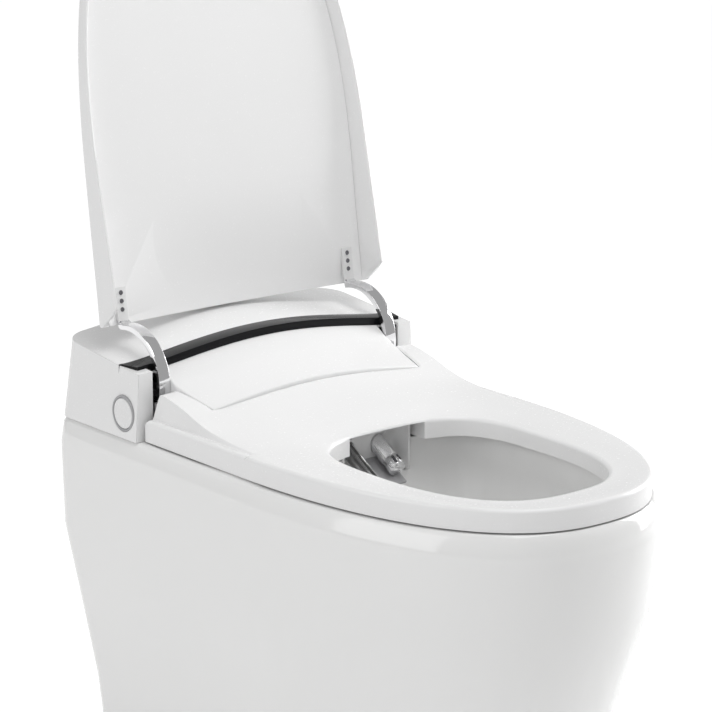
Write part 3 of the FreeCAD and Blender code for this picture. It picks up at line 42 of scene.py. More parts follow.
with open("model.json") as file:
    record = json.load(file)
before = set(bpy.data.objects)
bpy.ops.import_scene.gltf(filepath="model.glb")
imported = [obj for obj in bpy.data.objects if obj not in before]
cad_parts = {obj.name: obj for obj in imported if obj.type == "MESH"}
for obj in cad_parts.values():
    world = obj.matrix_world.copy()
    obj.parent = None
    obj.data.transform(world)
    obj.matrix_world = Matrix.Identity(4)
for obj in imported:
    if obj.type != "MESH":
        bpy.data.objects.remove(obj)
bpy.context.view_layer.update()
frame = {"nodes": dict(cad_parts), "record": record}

# Sizes below are in millimetres from two datums: z = 0 is the ceramic rim and
# y = 0 the front edge of the black accent bar. at() brings them to the floor frame.
RIM_HEIGHT = 395.0
BAR_FROM_OUTLET = 145.0

NOSE_POWER = 2.39             # bluntness of the rounded front
SEAT_HALF = 182.8
SEAT_TIP_Y = -520.0
SEAT_SHOULDER_Y = -166.0
SEAT_BOTTOM = 2.0
LEDGE_Z = 25.3                # ledge outside the lid's wall, along the seat's rear part
LEDGE_WIDTH = 10.5
LEDGE_BLEND = 3.2
OPENING = (112.0, -192.0, -305.0, -472.0)     # half width, then y of rear, widest line and tip
OPENING_POWER = 2.6
OPENING_REAR_POWER = 3.4
OPENING_DIP = 4.0             # shallow dip of the seat round its opening
SEAT_CROWN = 12.0
SEAT_CROWN_END_Y = -215.0
SEAT_TOP = [(20.0, 55.0), (-34.0, 52.6), (-65.0, 46.4), (-90.0, 38.6), (-115.0, 32.4), (-150.0, 28.4),
            (-200.0, 26.2), (-280.0, 25.6), (-420.0, 25.6), (-560.0, 25.6)]
SEAT_SPLIT_Y = -188.0         # a grid covers the seat behind this line, rings the part before it
NOTCH_HALF = 51.0             # room under seat and panel for the spray unit and its wands
SPRAY_ROOM = [(-212.0, -3.0), (-212.0, 20.6), (-172.0, 20.6), (-172.0, 23.5), (-150.0, 28.6), (-132.0, 32.4),
              (-115.0, 36.6), (-100.0, 41.1), (-92.0, 43.6), (-80.0, 47.4), (-40.0, 47.4), (-40.0, -3.0)]
PANEL_ROOM = [(-95.0, 5.0), (-95.0, 49.5), (-8.0, 49.5), (-8.0, 5.0)]

BAR_HALF_FRONT = 179.0
BAR_HALF_REAR = 186.0
BAR_DEPTH = 24.0
BAR_BOTTOM = 69.6
BAR_THICK = 8.6
ARCH = 17.0
PANEL_REAR = 148.0
PANEL_FRONT = 140.0
PANEL_FRONT_Y = -80.5
PANEL_TAPER_Y = -25.0
PANEL_TOP = [(8.0, 74.0), (0.0, 69.3), (-13.0, 61.6), (-25.0, 55.4), (-46.0, 48.4), (-77.0, 39.8), (-90.0, 36.6)]
SEAM = 1.2
SEAM_DROP = 1.2
SEAM_ROLL = 2.2

LID_HALF = 183.0
LID_REAR_Y = -15.0
LID_TIP_Y = -523.0
LID_RIM_Z = 27.4
LID_WALL = 2.8
LID_FOLD = 8.8
LID_DEPTH = [(10.0, 33.0, 13.6), (-15.0, 31.0, 13.4), (-100.0, 24.4, 11.4), (-180.0, 18.4, 9.6),
             (-290.0, 13.0, 8.0), (-420.0, 10.4, 7.2), (-560.0, 9.4, 6.4)]
LID_CROWN = 24.0
LID_CROWN_FRONT = 2.5
LID_CROWN_LENGTH = 150.0
LID_EDGE_FALL = 3.0
LID_REAR_SLANT = 18.0         # the side walls' rear ends lean forward by this over their rise
LID_REAR_RISE = 31.0
LID_SKIN = 0.9
LID_OPEN = 102.4
PIVOT = (42.0, 55.0)          # y and z of the hinge line

BUTTON = (-189.6, 12.7, 27.3)
PLATE_SLOPE = (2.9, 31.0)     # the hinge plates lean this much over their length
PLATE_FOOT = 0.006            # painted plate below the lowest screw, in metres
WAND_MOUTH = (-157.0, -8.0)   # y and z where the wands leave their guides
WAND_SLOPE = 31.0
FRONT_WAND = (20.0, 9.6, 36.0)      # x, radius and reach of the wide wand

CAMERA_PLACE = (-1.86099, -2.26009, 1.24871)
CAMERA_HEADING = 39.44
CAMERA_PITCH = 14.61
CAMERA_ROLL = 0.09
CAMERA_LENS = 146.1
FLOOR_REACH = 30.0
FLOOR_GLOW = 1.17
FLOOR_GLOW_SHARE = 0.8
SURROUND = 0.40
LIT_POINT = (0.0, 0.0, 0.45)
LAMPS = (("left", (-2.8, 0.2, 1.5), 2.0, 22), ("right", (2.6, -0.4, 1.2), 1.8, 60),
         ("top", (0.0, -0.9, 3.2), 2.0, 37))  # name, place, width and power


# ---------------------------------------------------------------- measures

def at(x, y, z):
    """Place in metres above the floor for a place in millimetres from the two datums."""
    return Vector((x * 0.001, (y + BAR_FROM_OUTLET) * 0.001, (z + RIM_HEIGHT) * 0.001))


def reading(table, y, column=1):
    """Smooth reading of a size that is listed along the length."""
    rows = sorted(table)
    if y <= rows[0][0]:
        return rows[0][column]
    if y >= rows[-1][0]:
        return rows[-1][column]
    last = len(rows) - 1
    slopes = []
    for i in range(last + 1):
        low, high = rows[max(i - 1, 0)], rows[min(i + 1, last)]
        slopes.append((high[column] - low[column]) / (high[0] - low[0]))
    for i in range(last):
        if y <= rows[i + 1][0]:
            span = rows[i + 1][0] - rows[i][0]
            t = (y - rows[i][0]) / span
            a, b = rows[i][column], rows[i + 1][column]
            return ((2 * t ** 3 - 3 * t ** 2 + 1) * a + (t ** 3 - 2 * t ** 2 + t) * span * slopes[i]
                    + (3 * t ** 2 - 2 * t ** 3) * b + (t ** 3 - t ** 2) * span * slopes[i + 1])


def arch(x):
    """Rise of the bar and the panel above their outer ends."""
    return ARCH * max(1.0 - (x / BAR_HALF_FRONT) ** 2, 0.0) ** 1.5


def smooth(t):
    t = min(max(t, 0.0), 1.0)
    return t * t * (3.0 - 2.0 * t)


def fade(y, start, end):
    t = min(max((y - start) / (end - start), 0.0), 1.0)
    return 0.5 + 0.5 * math.cos(math.pi * t)


def seat_height(x, y):
    """Top of the seat: a side profile, a crown at the rear and a dip round the opening."""
    half, rear, wide, tip = OPENING
    length = wide - tip if y < wide else rear - wide
    lip = max((abs(x / half) ** 3 + abs((y - wide) / length) ** 3) ** (1 / 3) - 1.0, -0.3)
    crown = SEAT_CROWN * fade(y, PANEL_FRONT_Y, SEAT_CROWN_END_Y) * max(1.0 - (x / BAR_HALF_FRONT) ** 2, 0.0) ** 2
    return reading(SEAT_TOP, y) + crown - OPENING_DIP * math.exp(-(lip / 0.2) ** 2)


def panel_half(y):
    t = min(max((y - PANEL_FRONT_Y) / (PANEL_TAPER_Y - PANEL_FRONT_Y), 0.0), 1.0)
    return PANEL_FRONT + (PANEL_REAR - PANEL_FRONT) * t


def edge_drop(inset, radius):
    """How far a rounded edge lies below its face at an inset from the wall."""
    inset = min(max(inset, 0.0), radius)
    return radius - math.sqrt(max(radius ** 2 - (radius - inset) ** 2, 0.0))


def edge_insets(radius, angles):
    return [radius * (1 - math.cos(math.radians(a))) for a in angles]


def lid_inner_height(x, y):
    t = min(max((LID_REAR_Y - y) / LID_CROWN_LENGTH, 0.0), 1.0)
    crown = (LID_CROWN - LID_CROWN_FRONT) * math.cos(0.5 * math.pi * t) ** 2 + LID_CROWN_FRONT
    return LID_RIM_Z + reading(LID_DEPTH, y, 1) + crown * max(1.0 - (x / (LID_HALF - LID_FOLD)) ** 2, -0.3)


def lid_outer_height(x, y):
    return lid_inner_height(x, y) + reading(LID_DEPTH, y, 2) - LID_EDGE_FALL * (abs(x) / LID_HALF) ** 6


# ---------------------------------------------------------------- outlines

def outline(half, rear, shoulder, tip, corner, front=72, side=26, turn=8, back=24):
    """Points round a blunt-nosed plan, from the right shoulder over the tip and round the rear."""
    points = []
    for i in range(front * 2 + 1):
        a = math.pi * i / (2 * front)
        c, s = math.cos(a), math.sin(a)
        x = half * math.copysign(abs(c) ** (2 / NOSE_POWER), c)
        points.append((x, shoulder - (shoulder - tip) * abs(s) ** (2 / NOSE_POWER)))
    left = []
    for i in range(1, side + 1):
        left.append((-half, shoulder + (rear - corner - shoulder) * i / side))
    for i in range(1, turn + 1):
        a = 0.5 * math.pi * i / turn
        left.append((-half + corner * (1 - math.cos(a)), rear - corner * (1 - math.sin(a))))
    points += left
    for i in range(1, back):
        points.append((-half + corner + 2 * (half - corner) * i / back, rear))
    points += [(-x, y) for x, y in reversed(left)]
    return points


def opening_points(angles):
    """Points on the seat opening's oval, in the asked directions from its widest line's centre."""
    half, rear, wide, tip = OPENING
    t = np.linspace(0, math.pi, 361)
    c, s = np.cos(t), np.sin(t)
    halves = []
    for length, power in ((tip - wide, OPENING_POWER), (rear - wide, OPENING_REAR_POWER)):
        halves.append(np.stack([half * np.sign(c) * np.abs(c) ** (2 / power), length * s ** (2 / power)], 1))
    ring = np.concatenate([halves[0], halves[1][::-1]])
    turn = np.arctan2(ring[:, 1], ring[:, 0])
    order = np.argsort(turn)
    reach = np.interp(angles, turn[order], np.hypot(ring[:, 0], ring[:, 1])[order], period=2 * math.pi)
    return [(r * math.cos(a), wide + r * math.sin(a)) for r, a in zip(reach, angles)]


# ---------------------------------------------------------------- meshes

def loft(rings, caps=(True, True)):
    """Points and faces of a skin over rings of equally many points."""
    count = len(rings[0])
    points = [p for ring in rings for p in ring]
    faces = []
    for r in range(len(rings) - 1):
        for i in range(count):
            j = (i + 1) % count
            faces.append((r * count + i, r * count + j, (r + 1) * count + j, (r + 1) * count + i))
    for wanted, r in zip(caps, (0, len(rings) - 1)):
        if wanted:
            ring = range(r * count, (r + 1) * count)
            middle = sum((points[i] for i in ring), Vector()) / count
            points.append(middle)
            faces += [(len(points) - 1, i, r * count + (i + 1 - r * count) % count) for i in ring]
    return points, faces


def placed(name, mesh, angle):
    """Put a mesh in the scene, smooth up to the given edge angle."""
    mesh.shade_smooth()
    mesh.set_sharp_from_angle(angle=math.radians(angle))
    obj = bpy.data.objects.new(name, mesh)
    bpy.context.collection.objects.link(obj)
    return obj


def solid(name, points, faces, angle=40.0):
    """A mesh object with outward faces, smooth up to the given edge angle."""
    mesh = bpy.data.meshes.new(name)
    mesh.from_pydata([tuple(p) for p in points], [], faces)
    bm = bmesh.new()
    bm.from_mesh(mesh)
    bmesh.ops.remove_doubles(bm, verts=bm.verts, dist=1e-6)
    bmesh.ops.recalc_face_normals(bm, faces=bm.faces)
    bm.to_mesh(mesh)
    bm.free()
    return placed(name, mesh, angle)


def join(parts):
    """Several skins as one list of points and one of faces."""
    points, faces = [], []
    for more_points, more_faces in parts:
        base = len(points)
        points += list(more_points)
        faces += [tuple(base + i for i in face) for face in more_faces]
    return points, faces


def dress(obj, finish, body, nodes):
    """Give a finished piece its material and body, and hide the frame solids it stands in for."""
    obj.data.materials.clear()
    obj.data.materials.append(finish)
    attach(obj, body)
    if nodes:
        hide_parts(*nodes)


def refined(node, angle=30.0, bevel=0.0, flat=1.0):
    """A merged, smooth-shaded copy of a frame solid, with softened edges where asked."""
    source = frame["nodes"][node]
    mesh = source.data.copy()
    bm = bmesh.new()
    bm.from_mesh(mesh)
    bmesh.ops.remove_doubles(bm, verts=bm.verts, dist=2e-6)
    if bevel:
        bmesh.ops.dissolve_limit(bm, angle_limit=math.radians(flat), verts=bm.verts, edges=bm.edges)
        sharp = [e for e in bm.edges if len(e.link_faces) == 2 and e.calc_face_angle(0) > math.radians(angle)]
        bmesh.ops.bevel(bm, geom=sharp, offset=bevel, segments=2, profile=0.6, affect="EDGES",
                        clamp_overlap=True)
        bmesh.ops.triangulate(bm, faces=[f for f in bm.faces if len(f.verts) > 4])
    bm.to_mesh(mesh)
    bm.free()
    mesh.name = node + "_finish"
    return placed(node + "_finish", mesh, angle)


def slab(name, points, faces, bottom, room, angle):
    """A sheet closed to a solid down to bottom(vertex), with the spray unit's room cut out."""
    mesh = bpy.data.meshes.new(name)
    mesh.from_pydata([tuple(p) for p in points], [], faces)
    bm = bmesh.new()
    bm.from_mesh(mesh)
    bmesh.ops.remove_doubles(bm, verts=bm.verts, dist=1e-5)
    bmesh.ops.recalc_face_normals(bm, faces=bm.faces)
    if sum(f.normal.z for f in bm.faces) < 0:
        bmesh.ops.reverse_faces(bm, faces=bm.faces)
    made = bmesh.ops.extrude_face_region(bm, geom=list(bm.faces), use_keep_orig=True)
    for v in made["geom"]:
        if isinstance(v, bmesh.types.BMVert):
            v.co.z = bottom(v)
    bmesh.ops.recalc_face_normals(bm, faces=bm.faces)
    bm.to_mesh(mesh)
    bm.free()
    obj = bpy.data.objects.new(name, mesh)
    bpy.context.collection.objects.link(obj)
    carve(obj, NOTCH_HALF, room)
    obj.data.shade_smooth()
    obj.data.set_sharp_from_angle(angle=math.radians(angle))
    return obj


def carve(obj, half, profile):
    """Cut a straight room with the given side profile out of a closed form."""
    points = [at(x, y, z) for x in (-half, half) for y, z in profile]
    count = len(profile)
    faces = [tuple(range(count)), tuple(reversed(range(count, 2 * count)))]
    faces += [(i, (i + 1) % count, (i + 1) % count + count, i + count) for i in range(count)]
    room = bpy.data.meshes.new("room")
    room.from_pydata([tuple(p) for p in points], [], faces)
    bm = bmesh.new()
    bm.from_mesh(room)
    bmesh.ops.recalc_face_normals(bm, faces=bm.faces)
    bm.to_mesh(room)
    bm.free()
    holder = bpy.data.objects.new("room", room)
    bpy.context.collection.objects.link(holder)
    cut = obj.modifiers.new("Room", "BOOLEAN")
    cut.operation, cut.solver, cut.object = "DIFFERENCE", "EXACT", holder
    shown = obj.evaluated_get(bpy.context.evaluated_depsgraph_get())
    made = bpy.data.meshes.new_from_object(shown)
    obj.modifiers.clear()
    obj.data = made
    bpy.data.objects.remove(holder)


def turned_open(points):
    """Carry points of the closed lid to its open rest place."""
    pivot = at(0, *PIVOT)
    spin = Matrix.Rotation(math.radians(LID_OPEN), 3, Vector((-1, 0, 0)))
    return [spin @ (p - pivot) + pivot for p in points]


def lathe(centre, axis, profile, count=64):
    """Skin turned about an axis: profile rows are distance along it and radius, in mm."""
    axis = Vector(axis).normalized()
    side = axis.orthogonal().normalized()
    other = axis.cross(side)
    rings = []
    for along, radius in profile:
        ring = []
        for i in range(count):
            a = 2 * math.pi * i / count
            ring.append(centre + axis * along * 0.001 + (side * math.cos(a) + other * math.sin(a)) * radius * 0.001)
        rings.append(ring)
    return loft(rings)


def oblong(x, radius, start, end, turn, half_width):
    """Round-ended patch on a wand's upper side, from start to end along its axis."""
    slope = math.radians(WAND_SLOPE)
    out = Vector((0, -math.cos(slope), -math.sin(slope)))
    up = Vector((0, -math.sin(slope), math.cos(slope)))
    mouth = at(x, *WAND_MOUTH)
    ring = []
    for i in range(32):
        a = 2 * math.pi * i / 32
        middle = end - half_width if math.cos(a) > 0 else start + half_width
        along = middle + half_width * math.cos(a)
        round_it = math.radians(turn) + half_width * math.sin(a) / radius
        side = Vector((math.sin(round_it), 0, 0)) + up * math.cos(round_it)
        ring.append((along, side))
    rings = [[mouth + (out * along + side * reach) * 0.001 for along, side in ring] for reach in (radius - 1, radius)]
    return loft(rings)


# ---------------------------------------------------------------- materials

def node_set(material):
    material.use_nodes = True
    nodes = material.node_tree.nodes
    nodes.clear()
    shader = nodes.new("ShaderNodeBsdfPrincipled")
    output = nodes.new("ShaderNodeOutputMaterial")
    material.node_tree.links.new(shader.outputs["BSDF"], output.inputs["Surface"])
    return nodes, material.node_tree.links, shader


def surface(name, colour, roughness, metallic=0.0, coat=0.0, grain=220.0, bump=0.02, tint=0.02, spread=0.06,
            stretch=(1, 1, 1), edge=0.0, specular=0.5):
    """Moulded, glazed or metal surface: faint tone shift, uneven gloss, fine grain and soft edges."""
    material = bpy.data.materials.new(name)
    nodes, links, shader = node_set(material)
    shader.inputs["Metallic"].default_value = metallic
    shader.inputs["Coat Weight"].default_value = coat
    shader.inputs["Coat Roughness"].default_value = 0.05
    shader.inputs["Specular IOR Level"].default_value = specular
    place = nodes.new("ShaderNodeTexCoord")
    scale = nodes.new("ShaderNodeMapping")
    scale.inputs["Scale"].default_value = stretch
    links.new(place.outputs["Object"], scale.inputs["Vector"])
    broad = nodes.new("ShaderNodeTexNoise")
    broad.inputs["Scale"].default_value = 6.0
    broad.inputs["Detail"].default_value = 3.0
    fine = nodes.new("ShaderNodeTexNoise")
    fine.inputs["Scale"].default_value = grain
    fine.inputs["Detail"].default_value = 4.0
    links.new(scale.outputs["Vector"], broad.inputs["Vector"])
    links.new(scale.outputs["Vector"], fine.inputs["Vector"])
    tone = nodes.new("ShaderNodeValToRGB")
    tone.color_ramp.elements[0].position = 0.3
    tone.color_ramp.elements[1].position = 0.7
    tone.color_ramp.elements[0].color = (*[c * (1 - tint) for c in colour], 1)
    tone.color_ramp.elements[1].color = (*[min(c * (1 + tint), 1.0) for c in colour], 1)
    links.new(broad.outputs["Fac"], tone.inputs["Fac"])
    links.new(tone.outputs["Color"], shader.inputs["Base Color"])
    gloss = nodes.new("ShaderNodeMapRange")
    gloss.inputs["From Min"].default_value = 0.3
    gloss.inputs["From Max"].default_value = 0.7
    gloss.inputs["To Min"].default_value = max(roughness - spread / 2, 0.01)
    gloss.inputs["To Max"].default_value = roughness + spread / 2
    links.new(fine.outputs["Fac"], gloss.inputs["Value"])
    links.new(gloss.outputs["Result"], shader.inputs["Roughness"])
    relief = nodes.new("ShaderNodeBump")
    relief.inputs["Strength"].default_value = bump
    relief.inputs["Distance"].default_value = 0.0004
    links.new(fine.outputs["Fac"], relief.inputs["Height"])
    if edge:
        rounding = nodes.new("ShaderNodeBevel")
        rounding.samples = 6
        rounding.inputs["Radius"].default_value = edge
        links.new(rounding.outputs["Normal"], relief.inputs["Normal"])
    links.new(relief.outputs["Normal"], shader.inputs["Normal"])
    return material


def chrome_with_painted_reflections(name, colour):
    """Polished metal with reflections painted into its colour along the slim wand: darker stripes as painted
    reflections of dark surroundings and a bright band as a painted highlight.
    """
    material = surface(name, colour, 0.10, metallic=1.0, grain=700, bump=0.01, tint=0.01, spread=0.04)
    nodes, links = material.node_tree.nodes, material.node_tree.links
    shader = next(n for n in nodes if n.type == "BSDF_PRINCIPLED")
    place = next(n for n in nodes if n.type == "TEX_COORD")
    split = nodes.new("ShaderNodeSeparateXYZ")
    links.new(place.outputs["Object"], split.inputs["Vector"])
    share = nodes.new("ShaderNodeMapRange")
    share.inputs["From Min"].default_value = -0.028
    share.inputs["From Max"].default_value = -0.012
    links.new(split.outputs["X"], share.inputs["Value"])
    # the ramp paints reflection bands into the base colour across object X: dark stripes as painted reflections, the
    # bright band as a painted highlight
    ramp = nodes.new("ShaderNodeValToRGB")
    elements = ramp.color_ramp.elements
    elements[0].position, elements[0].color = 0.0, (0.5, 0.5, 0.5, 1)
    elements[1].position, elements[1].color = 1.0, (0.85, 0.85, 0.86, 1)
    for where, tone in ((0.14, 0.16), (0.30, 0.42), (0.46, 0.12), (0.58, 0.12), (0.68, 0.9)):
        reflection_band = elements.new(where)
        reflection_band.color = (tone, tone, tone, 1)
    links.new(share.outputs["Result"], ramp.inputs["Fac"])
    links.new(ramp.outputs["Color"], shader.inputs["Base Color"])
    return material


FINISH = {}


def finishes(colours):
    """Make all finishes of the object, by the name of the record's slot or of their use."""
    FINISH.update({
        "ceramic": surface("Vitreous glaze", colours.glaze, 0.10, coat=0.3, grain=90, bump=0.012, tint=0.006,
                           spread=0.04, edge=0.003),
        "white_plastic": surface("White moulding", colours.moulding, 0.24, grain=420, bump=0.015, tint=0.006,
                                 spread=0.08),
        "white_soft": surface("White moulding, softened edges", colours.moulding, 0.24, grain=420, bump=0.015,
                              tint=0.006, spread=0.08, edge=0.0012),
        "black_gloss": surface("Black accent", colours.accent, 0.12, grain=300, bump=0.008, tint=0.1, spread=0.03,
                               specular=0.14),
        "button_grey": surface("Button grey", (0.38, 0.38, 0.39), 0.30, grain=500, bump=0.03, tint=0.015),
        "button_pale": surface("Button pale", (0.83, 0.83, 0.83), 0.26, grain=500, bump=0.02, tint=0.01),
        "plate_pale": surface("Plate paint", (0.74, 0.74, 0.74), 0.30, grain=500, bump=0.03, tint=0.01, edge=0.0004),
        "grey_plastic": surface("Grey moulding", colours.grey, 0.34, grain=500, bump=0.04, tint=0.02, edge=0.0006),
        "dark_plastic": surface("Dark moulding", (0.035, 0.035, 0.04), 0.45, grain=600, bump=0.10, tint=0.08,
                                edge=0.0006),
        "inner_plastic": surface("Natural moulding", (0.78, 0.78, 0.75), 0.42, grain=380, bump=0.05, tint=0.02,
                                 edge=0.0006),
        "chrome": surface("Polished chrome", colours.chrome, 0.06, metallic=1.0, grain=700, bump=0.01, tint=0.01,
                          spread=0.04, edge=0.0005),
        "chrome_painted_reflections": chrome_with_painted_reflections("Chrome, painted reflections", colours.chrome),
        "steel": surface("Brushed steel", (0.56, 0.56, 0.57), 0.32, metallic=1.0, grain=500, bump=0.08, tint=0.04,
                         spread=0.12, stretch=(1, 14, 14), edge=0.0005),
        "screw_steel": surface("Dark screw steel", (0.16, 0.16, 0.17), 0.30, metallic=1.0, grain=900, bump=0.05),
        "brass": surface("Turned brass", (0.72, 0.55, 0.28), 0.25, metallic=1.0, grain=700, bump=0.05,
                         stretch=(1, 20, 1)),
        "foil": surface("Heating foil", (0.70, 0.70, 0.71), 0.22, metallic=1.0, grain=160, bump=0.25, spread=0.1),
        "board": surface("Board lacquer", (0.02, 0.16, 0.07), 0.30, grain=260, bump=0.10, tint=0.25),
        "seal_rubber": surface("Seal rubber", (0.03, 0.03, 0.03), 0.70, grain=800, bump=0.2, tint=0.1),
        "hose_rubber": surface("Hose rubber", (0.20, 0.20, 0.21), 0.55, grain=700, bump=0.15, tint=0.08),
        "bumper_rubber": surface("Pale rubber", (0.72, 0.72, 0.72), 0.60, grain=800, bump=0.12, tint=0.02),
    })


# ---------------------------------------------------------------- settings

class ToiletSizes(bpy.types.PropertyGroup):
    """Sizes that a user would change."""

    edge_round: bpy.props.FloatProperty(
        name="Seat edge", description="Roundness of the seat's outer and inner edges",
        default=0.0045, min=0.001, max=0.008, unit="LENGTH")
    lid_round: bpy.props.FloatProperty(
        name="Lid edge", description="Roundness of the lid's outer edge",
        default=0.005, min=0.001, max=0.009, unit="LENGTH")
    bar_round: bpy.props.FloatProperty(
        name="Bar edge", description="Roundness of the accent bar's edges",
        default=0.0009, min=0.0003, max=0.003, unit="LENGTH")
    screw_radius: bpy.props.FloatProperty(
        name="Screw head", description="Radius of the hinge screws' heads",
        default=0.0026, min=0.001, max=0.004, unit="LENGTH")
    screw_count: bpy.props.IntProperty(
        name="Screws", description="Screws on each hinge plate", default=3, min=1, max=4)


class ToiletColours(bpy.types.PropertyGroup):
    """Colours that a user would change."""

    glaze: bpy.props.FloatVectorProperty(
        name="Glaze", description="Colour of the ceramic", subtype="COLOR", default=(0.86, 0.86, 0.855), min=0, max=1)
    moulding: bpy.props.FloatVectorProperty(
        name="Moulding", description="Colour of seat, lid and cover", subtype="COLOR",
        default=(0.85, 0.85, 0.85), min=0, max=1)
    accent: bpy.props.FloatVectorProperty(
        name="Accent", description="Colour of the dark bar", subtype="COLOR", default=(0.008, 0.008, 0.009), min=0,
        max=1)
    grey: bpy.props.FloatVectorProperty(
        name="Grey", description="Colour of the side button and drip guide", subtype="COLOR",
        default=(0.42, 0.42, 0.43), min=0, max=1)
    chrome: bpy.props.FloatVectorProperty(
        name="Chrome", description="Colour of arms and wands", subtype="COLOR", default=(0.82, 0.82, 0.83), min=0,
        max=1)


# ---------------------------------------------------------------- pieces

class TOILET_OT_ceramic(bpy.types.Operator):
    """Finish the glazed pedestal with its softened rim"""

    bl_idname = "toilet.ceramic"
    bl_label = "Ceramic pedestal"

    def execute(self, context):
        obj = refined("ceramic_pedestal", angle=32)
        obj.name = "ceramic_body"
        dress(obj, FINISH["ceramic"], "root", ["ceramic_pedestal"])
        return {"FINISHED"}


class TOILET_OT_seat(bpy.types.Operator):
    """Build the heated seat's top shell with rounded edges"""

    bl_idname = "toilet.seat"
    bl_label = "Heated seat"

    def execute(self, context):
        size = context.scene.toilet_sizes
        roll = size.edge_round * 1000
        rolls = edge_insets(roll, (0, 15, 30, 45, 60, 75, 90))
        inland = 99.0         # a distance from a wall at which its rounded edge has ended

        def top(x, y, outer, inner):
            base = seat_height(x, y)
            step = smooth((outer - LEDGE_WIDTH + 0.5 * LEDGE_BLEND) / LEDGE_BLEND)
            weight = smooth((y + 260.0) / 30.0)
            z = base + (LEDGE_Z + (base - LEDGE_Z) * step - base) * weight
            return z - edge_drop(outer, roll) - edge_drop(inner, roll)

        columns = [0.0, 30.0, 60.0, 85.0, 105.0, 122.0, 133.0]
        outer_steps = rolls + [7.0, 8.9, 9.7, 10.5, 11.3, 12.1, 14.0, 18.0, 24.0]
        seam_steps = [0, 0.2, 0.7, 1.4, SEAM_ROLL]

        def row_x(y):
            wall = panel_half(y) + SEAM
            out = [SEAT_HALF - s for s in reversed(outer_steps)]
            side = [wall + s for s in seam_steps]
            left_over = [side[-1] + (out[0] - side[-1]) * s for s in (0.25, 0.5, 0.75)]
            return [c * wall / (PANEL_FRONT + SEAM) for c in columns], side + left_over + out, wall

        points, faces, index = [], [], {}

        def add(key, x, y, z):
            if key not in index:
                index[key] = len(points)
                points.append(at(x, y, z))
            return index[key]

        # the part between the split and the panel's front edge is a grid
        front_y = PANEL_FRONT_Y - SEAM
        rows = list(np.linspace(SEAT_SPLIT_Y, front_y - SEAM_ROLL, 26))
        rows += [front_y - step for step in (1.4, 0.7, 0.2, 0)]
        behind = list(np.linspace(0, 1, 26)[1:])
        middle, side, _ = row_x(front_y)
        full = [-x for x in reversed(side)] + [-x for x in reversed(middle[1:])] + middle + side
        grid = []
        for j, y in enumerate(rows):
            line = []
            for i, x in enumerate(full):
                near = front_y - y
                over = abs(x) < middle[-1] + seam_steps[-1]
                fall = SEAM_DROP * (1 - smooth(near / SEAM_ROLL)) if over and near < SEAM_ROLL else 0.0
                line.append(add(("f", i, j), x, y, top(x, y, SEAT_HALF - abs(x), inland) - fall))
            grid.append(line)
        for j in range(len(rows) - 1):
            for i in range(len(full) - 1):
                faces.append((grid[j][i], grid[j][i + 1], grid[j + 1][i + 1], grid[j + 1][i]))
        # beside the panel two strips run back, to a slanted end that follows the cover's cheeks
        count = len(side)
        for hand in (-1, 1):
            previous = [grid[-1][full.index(hand * x)] for x in side]
            for k, share in enumerate(behind):
                line = []
                guessed = row_x(front_y + (-24.0 - front_y) * share)[1]
                for i in range(count):
                    z = top(guessed[i], -28.0, SEAT_HALF - guessed[i], inland)
                    end = -17.5 - max(z - 22.0, 0.0) * 11.0 / 34.0
                    y = front_y + (end - front_y) * share
                    x = row_x(y)[1][i]
                    z = top(x, y, SEAT_HALF - x, inland)
                    z -= SEAM_DROP * (1 - smooth((x - row_x(y)[2]) / SEAM_ROLL))
                    z -= 1.4 * (1 - smooth((end - y) / 2.6))
                    line.append(add(("h", hand, i, k), hand * x, y, z))
                for i in range(count - 1):
                    faces.append((previous[i], previous[i + 1], line[i + 1], line[i]))
                previous = line
        # the part before the split is rings from the outer edge in to the opening
        wide = OPENING[2]
        nose = [p for p in outline(SEAT_HALF, 0, SEAT_SHOULDER_Y, SEAT_TIP_Y, 9.0) if p[1] < SEAT_SPLIT_Y - 1.5]
        split = [(x, SEAT_SPLIT_Y) for x in full]
        rim = nose + split
        angles = [math.atan2(y - wide, x) for x, y in rim]
        hole = opening_points(angles)
        spans = [math.dist(a, b) for a, b in zip(rim, hole)]
        rings = [("out", inset) for inset in rolls[:-1]] + [("mid", share) for share in np.linspace(0, 1, 16)]
        rings += [("in", inset) for inset in reversed(rolls[:-1])]
        lines = []
        for kind, value in rings:
            line = []
            for i, (a, b) in enumerate(zip(rim, hole)):
                span = spans[i]
                on_split = i >= len(nose)
                limit = min(roll, span * 0.45)
                start = 0.0 if on_split else limit
                if kind == "out":
                    d = 0.0 if on_split else value * limit / roll
                elif kind == "in":
                    d = span - value * limit / roll
                else:
                    d = start + (span - limit - start) * value
                x = a[0] + (b[0] - a[0]) * d / span
                y = a[1] + (b[1] - a[1]) * d / span
                if on_split and (kind == "out" or value == 0.0 and kind == "mid"):
                    line.append(grid[0][i - len(nose)])
                    continue
                z = top(x, y, SEAT_HALF - abs(x) if on_split else d, (span - d) * roll / limit)
                line.append(add((kind, value, i), x, y, z))
            lines.append(line)
        for one, two in zip(lines, lines[1:]):
            for i in range(len(rim)):
                j = (i + 1) % len(rim)
                ids = []
                for v in (one[i], one[j], two[j], two[i]):
                    if v not in ids:
                        ids.append(v)
                if len(ids) > 2:
                    faces.append(tuple(ids))
        floor_z = at(0, 0, SEAT_BOTTOM).z
        shell = slab("seat_shell", points, faces, lambda v: floor_z, SPRAY_ROOM, 42)
        dress(shell, FINISH["white_plastic"], "seat", ["seat_top"])
        return {"FINISHED"}


def lid_plan(inset, rear_inset):
    return outline(LID_HALF - inset, LID_REAR_Y - rear_inset, SEAT_SHOULDER_Y, LID_TIP_Y + inset, 2.0)


def lid_ring(inset, height, rear_inset=0.0):
    return [at(x, y, height(x, y)) for x, y in lid_plan(inset, rear_inset)]


